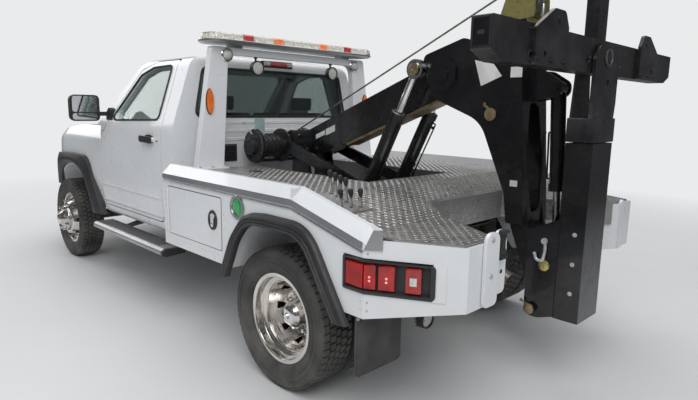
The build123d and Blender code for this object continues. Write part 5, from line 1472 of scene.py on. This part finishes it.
def liftTrim(side, sideName, look):
    lines, glands = bmesh.new(), bmesh.new()
    low = Vector(look["low"])
    along = (Vector(look["high"]) - low).normalized()
    rearward = Vector((along.y, -along.x))
    for share, start, end in look["lines"]:
        near, far = rearward * look["near"], rearward * look["far"] * share
        track = [low + along * start + near, low + along * start + far, low + along * end + far,
                 low + along * end + near]
        x = side * (look["x"] + (look["apart"] if share == 1 else -look["apart"]))
        addTube(lines, bentPath([at(x, p.x, p.y) for p in track], 0.008, 4), look["line"], 10)
        for station in (start + 0.03, end - 0.03):
            spot = low + along * station + rearward * look["clip"]
            addRod(lines, at(x - 0.009, spot.x, spot.y), at(x + 0.009, spot.x, spot.y), 0.0105, 6)
    piece("liftLines_" + sideName, lines, boomBlack, "lift_barrels", slot="black_paint", angle=40)
    tip = low + along * look["glandAt"]
    addTurned(glands, look["gland"], at(side * look["x"], tip.x, tip.y), (0, along.x, along.y), 36)
    piece("liftGlands_" + sideName, glands, castGrey, "lift_barrels", slot="bare_steel", angle=40)


bothSides(pins)


stingerLook = dict(
    hook=((0.139, 4.71, 0.884), (0.146, 4.716, 0.835), (0.146, 4.706, 0.772), (0.146, 4.668, 0.772),
          (0.146, 4.658, 0.806)), hookWire=0.009, eye=((0.14, 4.71, 0.884), (0.155, 4.71, 0.884)),
    tip=(0.146, 4.658, 0.803), frontBolts=(-0.1, -0.06, 0.06, 0.1), frontY=4.7715, frontZ=(0.484, 1.392),
    sideBolts=(0.62, 0.78, 0.94), sideX=0.1252, sideY=4.86, lineX=0.03,
    line=((1, 4.617, 1.46), (1, 4.604, 1.46), (1.1, 4.61, 1.2), (1.1, 4.622, 1.2)))


def stingerTrim(look):
    hook, bolts, lines = (bmesh.new() for _ in range(3))
    addTube(hook, bentPath([at(*spot) for spot in look["hook"]], 0.016, 6), look["hookWire"], 14)
    addRod(hook, *(at(*spot) for spot in look["eye"]), 0.017, 20)
    addTurned(hook, [(0, 0), (0, 0.011), (0.007, 0.01), (0.011, 0.005), (0.012, 0)], at(*look["tip"]),
              (0, -0.3, 0.95), 16)
    piece("jHook", hook, hookZinc, "stinger", slot="zinc_gold", angle=40)
    for z in look["frontZ"]:
        for x in look["frontBolts"]:
            addBolt(bolts, at(x, look["frontY"], z), (0, -1, 0), 0.007, 0.005)
    for side in (1, -1):
        for z in look["sideBolts"]:
            addBolt(bolts, at(side * look["sideX"], look["sideY"], z), (side, 0, 0), 0.008, 0.006)
    piece("stingerBolts", bolts, hookZinc, "stinger", slot="zinc_gold")
    for x in (look["lineX"], -look["lineX"]):
        addTube(lines, bentPath([at(x * share, y, z) for share, y, z in look["line"]], 0.008, 4), 0.0055,
                10)
    piece("foldLines", lines, boomBlack, "fold_barrel", slot="black_paint")


stingerTrim(stingerLook)


# rings of bolts are (x, reach, count, first turn, way out, radius, height); ribs are (low x, high x, radius)
winchLook = dict(
    cover=[(0.381, 0), (0.381, 0.128), (0.386, 0.132), (0.396, 0.132), (0.401, 0.127), (0.401, 0.071),
           (0.437, 0.066), (0.444, 0.058), (0.446, 0.03), (0.447, 0)],
    coverBolts=((0.4, 0.112, 10, 0, 1, 0.006, 0.006), (0.445, 0.042, 6, 0.3, 1, 0.006, 0.005)),
    bolts=((-0.3805, 0.129, 12, 0.2, -1, 0.0055, 0.006), (-0.1175, 0.129, 12, 0.2, 1, 0.0055, 0.006),
           (0.1175, 0.129, 12, 0.2, -1, 0.0055, 0.006), (-0.3955, 0.062, 8, 0, -1, 0.005, 0.005)),
    ribs=((-0.365, -0.135, 0.0785), (0.135, 0.365, 0.0845)), ribCount=5,
    plate=(0.29, 1.345, 0.385, 1.484), plateY=(2.364, 2.37),
    stay=[(0.3, 1.35), (0.31, 1.35), (0.31, 1.47), (0.3, 1.36)], stayY=(2.34, 2.365),
    stalk=((0.41, 2.362, 1.36), (0.478, 2.362, 1.452)), knobAt=(0.482, 2.362, 1.458),
    knob=[(-0.02, 0), (-0.02, 0.006), (-0.014, 0.0135), (0, 0.0175), (0.012, 0.0135), (0.018, 0)],
    portX=-0.42, ports=(0.5, 2.2), portReach=0.055)


def addBoltRings(mesh, middle, rings):
    for x, reach, count, first, out, radius, height in rings:
        for step in range(count):
            turn = 2 * pi * step / count + first
            addBolt(mesh, middle + Vector((x, reach * cos(turn), reach * sin(turn))), (out, 0, 0), radius,
                    height)


def winchTrim(look):
    cover, bolts, ribs, panel, stalk, ports = (bmesh.new() for _ in range(6))
    middle = at(0, ropeLook["drumY"], ropeLook["drumZ"])
    addTurned(cover, look["cover"], middle, steps=60)
    addBoltRings(cover, middle, look["coverBolts"])
    piece("winchCover", cover, scuffedBlack, "boom", slot="black_paint", angle=36)
    addBoltRings(bolts, middle, look["bolts"])
    piece("winchBolts", bolts, hookZinc, "boom", slot="zinc_gold")
    for low, high, radius in look["ribs"]:
        for step in range(look["ribCount"]):
            x = low + (high - low) * (step + 0.5) / look["ribCount"]
            addTurned(ribs, [(x - 0.006, radius - 0.004), (x - 0.004, radius + 0.006),
                             (x + 0.004, radius + 0.006), (x + 0.006, radius - 0.004)], middle, steps=44)
    piece("winchRibs", ribs, scuffedBlack, "boom", slot="black_paint", angle=36)
    addPrism(panel, plate(*look["plate"], 0.004, 0.01), "y", *look["plateY"])
    addPrism(panel, look["stay"], "y", *look["stayY"])
    piece("winchPlate", panel, palePlate, "boom", slot="aluminium", bevel=0.001)
    addRod(stalk, *(at(*spot) for spot in look["stalk"]), 0.006, 12)
    addTurned(stalk, look["knob"], at(*look["knobAt"]), (0.6, 0, 0.8), 24)
    piece("winchFreeKnob", stalk, plainLabel, "boom", slot="aluminium")
    for angle in look["ports"]:
        out = Vector((0, cos(angle), sin(angle)))
        spot = middle + Vector((look["portX"], 0, 0)) + out * look["portReach"]
        addRod(ports, spot, spot + out * 0.03, 0.013, 6)
        addRod(ports, spot, spot + out * 0.042, 0.009, 16)
    piece("winchPorts", ports, smoothMetal, "boom", slot="bare_steel")


winchTrim(winchLook)


crossbarLook = dict(
    ringY=4.8803, rings=((0.205, 1.822), (0.773, 1.802), (0.679, 1.813)), ringSize=(0.0135, 0.022, 0.003),
    boltY=4.898, boltZ=1.79, bolts=(0.5, 0.62, 0.74), pin=(0.56, 4.898, 1.965), pinSize=(0.021, 0.004),
    swivel=(0, 4.9055, 1.846), swivelSize=(0.03, 0.046, 0.004))


def crossbarTrim(look):
    mesh, swivel, rear = bmesh.new(), bmesh.new(), Vector((0, 1, 0))
    for x, z in look["rings"]:
        for side in (1, -1):
            addRing(mesh, at(side * x, look["ringY"], z), rear, *look["ringSize"])
    for side in (1, -1):
        for x in look["bolts"]:
            addBolt(mesh, at(side * x, look["boltY"], look["boltZ"]), rear, 0.008, 0.006)
        x, y, z = look["pin"]
        addPinEnd(mesh, at(side * x, y, z), rear, *look["pinSize"])
    piece("crossbarRings", mesh, scuffedBlack, "crossbar", slot="black_paint", angle=40)
    addRing(swivel, at(*look["swivel"]), rear, *look["swivelSize"])
    piece("swivelRing", swivel, castGrey, "stinger_inner", slot="bare_steel", angle=40)


crossbarTrim(crossbarLook)
print("boom, winch and stinger details made")


# Cab inside

# each pad is (low y, high y, low z, high z)
seatLook = dict(
    places=((0.15, 0.71, "left"), (-0.71, -0.15, "right"), (-0.12, 0.12, "middle")),
    cushion=(1.44, 1.93, 0.9, 1.075), back=(1.83, 1.96, 1.06, 1.52), backIn=0.01, backLean=0.16,
    head=(1.9, 1.99, 1.545, 1.66), headHalf=0.11, headLean=0.1)


def addPad(mesh, x0, x1, pad, tilt=0):
    y0, y1, z0, z1 = pad
    rings = []
    for share, shrink in ((0, 0.16), (0.06, 0.05), (0.2, 0), (0.5, -0.02), (0.8, 0), (0.94, 0.05), (1, 0.16)):
        z = z0 + (z1 - z0) * share
        dx, dy, lean = (x1 - x0) * shrink * 0.3, (y1 - y0) * shrink * 0.4, tilt * (z - z0)
        rings.append([at(x, y, z)
                      for x, y in plate(x0 + dx, y0 + dy + lean, x1 - dx, y1 - dy + lean, 0.05)])
    skin(mesh, rings)


def seats(look):
    for x0, x1, name in look["places"]:
        mesh = bmesh.new()
        addPad(mesh, x0, x1, look["cushion"])
        made = piece("seatCushion_" + name, mesh, seatCloth, slot="seat_cloth", standsFor=("seats",))
        mesh = bmesh.new()
        addPad(mesh, x0 + look["backIn"], x1 - look["backIn"], look["back"], look["backLean"])
        made = piece("seatBack_" + name, mesh, seatCloth, slot="seat_cloth", standsFor=("seats",))
        if name != "middle":
            mesh = bmesh.new()
            middle = (x0 + x1) / 2
            addPad(mesh, middle - look["headHalf"], middle + look["headHalf"], look["head"],
                   look["headLean"])
            made = piece("headRest_" + name, mesh, seatCloth, slot="seat_cloth", standsFor=("seats",))


seats(seatLook)


# The nose and its lamps

def noseCopy(name, coat, body, slotName, **more):
    mesh = bmesh.new()
    mesh.from_mesh(cad[name].data)
    mesh.transform(cad[name].matrix_world)
    for step in range(7):
        tall = [edge for edge in mesh.edges if edge.calc_length() > noseLook["longest"]
                and min(v.co.y for v in edge.verts) < axleY + noseLook["dropY"] + 0.05]
        if not tall:
            break
        bmesh.ops.subdivide_edges(mesh, edges=tall, cuts=1)
        bmesh.ops.triangulate(mesh, faces=[face for face in mesh.faces if len(face.verts) > 3])
    for vert in mesh.verts:
        vert.co = noseShift(vert.co)
    piece("nose_" + name, mesh, coat, body, slot=slotName, standsFor=(name,), **more)


noseCopy("hood", whitePaint, "hood", "white_paint")
noseCopy("front_fenders", whitePaint, "chassis", "white_paint")
noseCopy("grille", darkPlastic, "chassis", "black_plastic")
noseCopy("headlamps", clearGlass, "chassis", "clear_lens")
noseCopy("front_bumper", chrome, "chassis", "chrome")


noseLamp = dict(
    back=[(0.618, 0.972, 0.02), (0.92, 0.982, 0.02), (0.91, 1.16, 0.04), (0.618, 1.17, 0.02)],
    backY=(-0.699, -0.685), bowls=(0.688, 0.808), bowlY=-0.72, bowlZ=1.068,
    bowl=[(0.018, 0), (0.018, 0.02), (0, 0.034), (-0.05, 0.052), (-0.052, 0.055), (-0.002, 0.037),
          (0.022, 0.022), (0.022, 0)],
    bulb=[(-0.03, 0), (-0.028, 0.007), (-0.01, 0.009), (0.016, 0.009), (0.016, 0)],
    amber=[(0.868, 1.0, 0.01), (0.905, 1.0, 0.01), (0.9, 1.14, 0.01), (0.868, 1.14, 0.01)],
    amberY=(-0.745, -0.7))


def lampInsides(side, sideName):
    look, rear = noseLamp, (0, 1, 0)
    back, bowls, amber = (bmesh.new() for _ in range(3))
    addPrism(back, rounded([(side * x, z, radius) for x, z, radius in look["back"]]), "y", *look["backY"])
    for x in look["bowls"]:
        centre = at(side * x, look["bowlY"], look["bowlZ"])
        addTurned(bowls, look["bowl"], centre, rear, 40)
        addTurned(bowls, look["bulb"], centre, rear, 16)
    addPrism(amber, rounded([(side * x, z, radius) for x, z, radius in look["amber"]]), "y",
             *look["amberY"])
    for mesh in (back, bowls, amber):
        for vert in mesh.verts:
            vert.co = noseShift(vert.co)
    piece("lampBack_" + sideName, back, darkPlastic, slot="black_plastic")
    piece("lampBowls_" + sideName, bowls, chrome, slot="chrome", angle=40)
    piece("lampAmber_" + sideName, amber, amberLens, slot="clear_lens", bevel=0.002)


bothSides(lampInsides)
print("nose and cab details made")


# Closed ends of the crossbar and the white filler behind the tail lamps

coverLook = dict(
    capX=(1.07, 1.0797), capY=(4.7995, 4.8705), capZ=(1.8145, 1.9185), slit=(4.818, 1.857, 4.85, 1.873),
    slitX=(1.079, 1.08), fillOver=0.004, fillPast=0.012, fillDeep=(-0.03, -0.0012))


def smallCovers(side, sideName):
    look = coverLook
    cap, slit, fill = (bmesh.new() for _ in range(3))
    (y0, y1), (z0, z1) = look["capY"], look["capZ"]
    x0, x1 = sorted(side * x for x in look["capX"])
    addBox(cap, (x0, y0, z0), (x1, y1, z1))
    piece("crossbarCap_" + sideName, cap, boomBlack, "crossbar", slot="black_paint", bevel=0.003)
    # a thin black sheet on the cap paints the shade inside the slit
    addPrism(slit, plate(*look["slit"], 0.006), "x", *(side * x for x in look["slitX"]))
    piece("crossbarSlitShade_" + sideName, slit, blackRubberAndShade, "crossbar", slot="dark_rubber")
    low, high, past = tailLook["low"], tailLook["high"], look["fillPast"]
    middle, tall = (low + high) / 2, (high - low) / 2 + look["fillOver"]
    back, face = look["fillDeep"]
    corners = ((-1, back), (-1, face), (1, face), (1, back))
    skin(fill, [[tailPoint(side, run, out, middle + share * tall) for share, out in corners]
                for run in (tailRun - tailLook["endGap"] - past, tailRun + past)])
    piece("tailFill_" + sideName, fill, whitePaint, slot="white_paint")


bothSides(smallCovers)


# Floor, light and camera

stageLook = dict(floorTone=0.68, seenTone=0.84, fill=0.5, gleam=0.1, fadeFrom=3.2, fadeTo=9)


def fadeOut(made, start, end):
    # far away the floor gives way to the plain backdrop
    tree = made.node_tree
    reach = addNode(tree, "VectorMath", operation="LENGTH")
    tree.links.new(addNode(tree, "NewGeometry").outputs["Position"], reach.inputs[0])
    both = addNode(tree, "MixShader")
    tree.links.new(spread(tree, reach.outputs["Value"], start, end, 0, 1), both.inputs[0])
    tree.links.new(tree.nodes["Principled BSDF"].outputs[0], both.inputs[1])
    tree.links.new(addNode(tree, "BsdfTransparent").outputs[0], both.inputs[2])
    tree.links.new(both.outputs[0], tree.nodes["Material Output"].inputs["Surface"])


def makeStage(look):
    floorData = bpy.data.meshes.new("floor")
    size, tone = 60, look["floorTone"]
    floorData.from_pydata([(-size, -size, 0), (size, -size, 0), (size, size, 0), (-size, size, 0)], [],
                          [(0, 1, 2, 3)])
    floor = bpy.data.objects.new("floor", floorData)
    bpy.context.scene.collection.objects.link(floor)
    plain = finish("floorTone", (tone, tone, tone), (tone * 0.97,) * 3, patch=0.6, rough=0.7, grain=60,
                   depth=0.0004)
    fadeOut(plain, look["fadeFrom"], look["fadeTo"])
    floorData.materials.append(plain)
    world = bpy.data.worlds.new("softRoom")
    bpy.context.scene.world = world
    world.use_nodes = True
    tree = world.node_tree
    # the room lights the truck, and glossy rays and the camera each see a tone of their own
    sky, seen, gleam = tree.nodes["Background"], addNode(tree, "Background"), addNode(tree, "Background")
    for node, colour, strength in ((sky, (0.93, 0.96, 1, 1), look["fill"]),
                                   (seen, (0.98, 0.99, 1, 1), look["seenTone"]),
                                   (gleam, (0.95, 0.97, 1, 1), look["gleam"])):
        node.inputs["Color"].default_value = colour
        node.inputs["Strength"].default_value = strength
    path, lit, both = addNode(tree, "LightPath"), addNode(tree, "MixShader"), addNode(tree, "MixShader")
    rays = math(tree, "MAXIMUM", path.outputs["Is Camera Ray"], path.outputs["Is Transmission Ray"])
    surface = tree.nodes["World Output"].inputs["Surface"]
    for start, end in ((path.outputs["Is Glossy Ray"], lit.inputs[0]), (sky.outputs[0], lit.inputs[1]),
                       (gleam.outputs[0], lit.inputs[2]), (rays, both.inputs[0]),
                       (lit.outputs[0], both.inputs[1]), (seen.outputs[0], both.inputs[2]),
                       (both.outputs[0], surface)):
        tree.links.new(start, end)


def makeLamp(name, place, aim, size, power):
    data = bpy.data.lights.new(name, "AREA")
    data.shape = "RECTANGLE"
    data.size, data.size_y = size
    data.energy = power
    lamp = bpy.data.objects.new(name, data)
    lamp.location = place
    lamp.rotation_euler = (Vector(aim) - Vector(place)).to_track_quat("-Z", "Y").to_euler()
    bpy.context.scene.collection.objects.link(lamp)


cameraView = dict(place=(2.9176, 4.0208, 1.5755), yaw=44.7256, down=9.5797, roll=0.9342, lens=28.11)


def makeCamera(view):
    yaw, down, roll = (radians(view[name]) for name in ("yaw", "down", "roll"))
    ahead = Vector((-sin(yaw) * cos(down), -cos(yaw) * cos(down), -sin(down)))
    right = ahead.cross(Vector((0, 0, 1))).normalized()
    up = right.cross(ahead)
    level, rise = right * cos(roll) + up * sin(roll), up * cos(roll) - right * sin(roll)
    data = bpy.data.cameras.new("photoCamera")
    data.sensor_width, data.lens = 36, view["lens"]
    data.clip_end = 200
    camera = bpy.data.objects.new("photoCamera", data)
    turned = Matrix((level, rise, -ahead)).transposed().to_4x4()
    camera.matrix_world = Matrix.Translation(view["place"]) @ turned
    bpy.context.scene.collection.objects.link(camera)
    bpy.context.scene.camera = camera


makeStage(stageLook)
makeLamp("keySoft", (4.5, 5.5, 6.5), (0, 0.5, 0.8), (5, 5), 330)
makeLamp("topSoft", (-1, -0.5, 7), (0, 0, 0), (7, 7), 240)
makeLamp("frontSoft", (1.5, -8, 4.5), (0, 0, 1), (6, 4), 150)
makeCamera(cameraView)
bpy.context.scene.view_settings.view_transform = "Standard"
print("stage set")
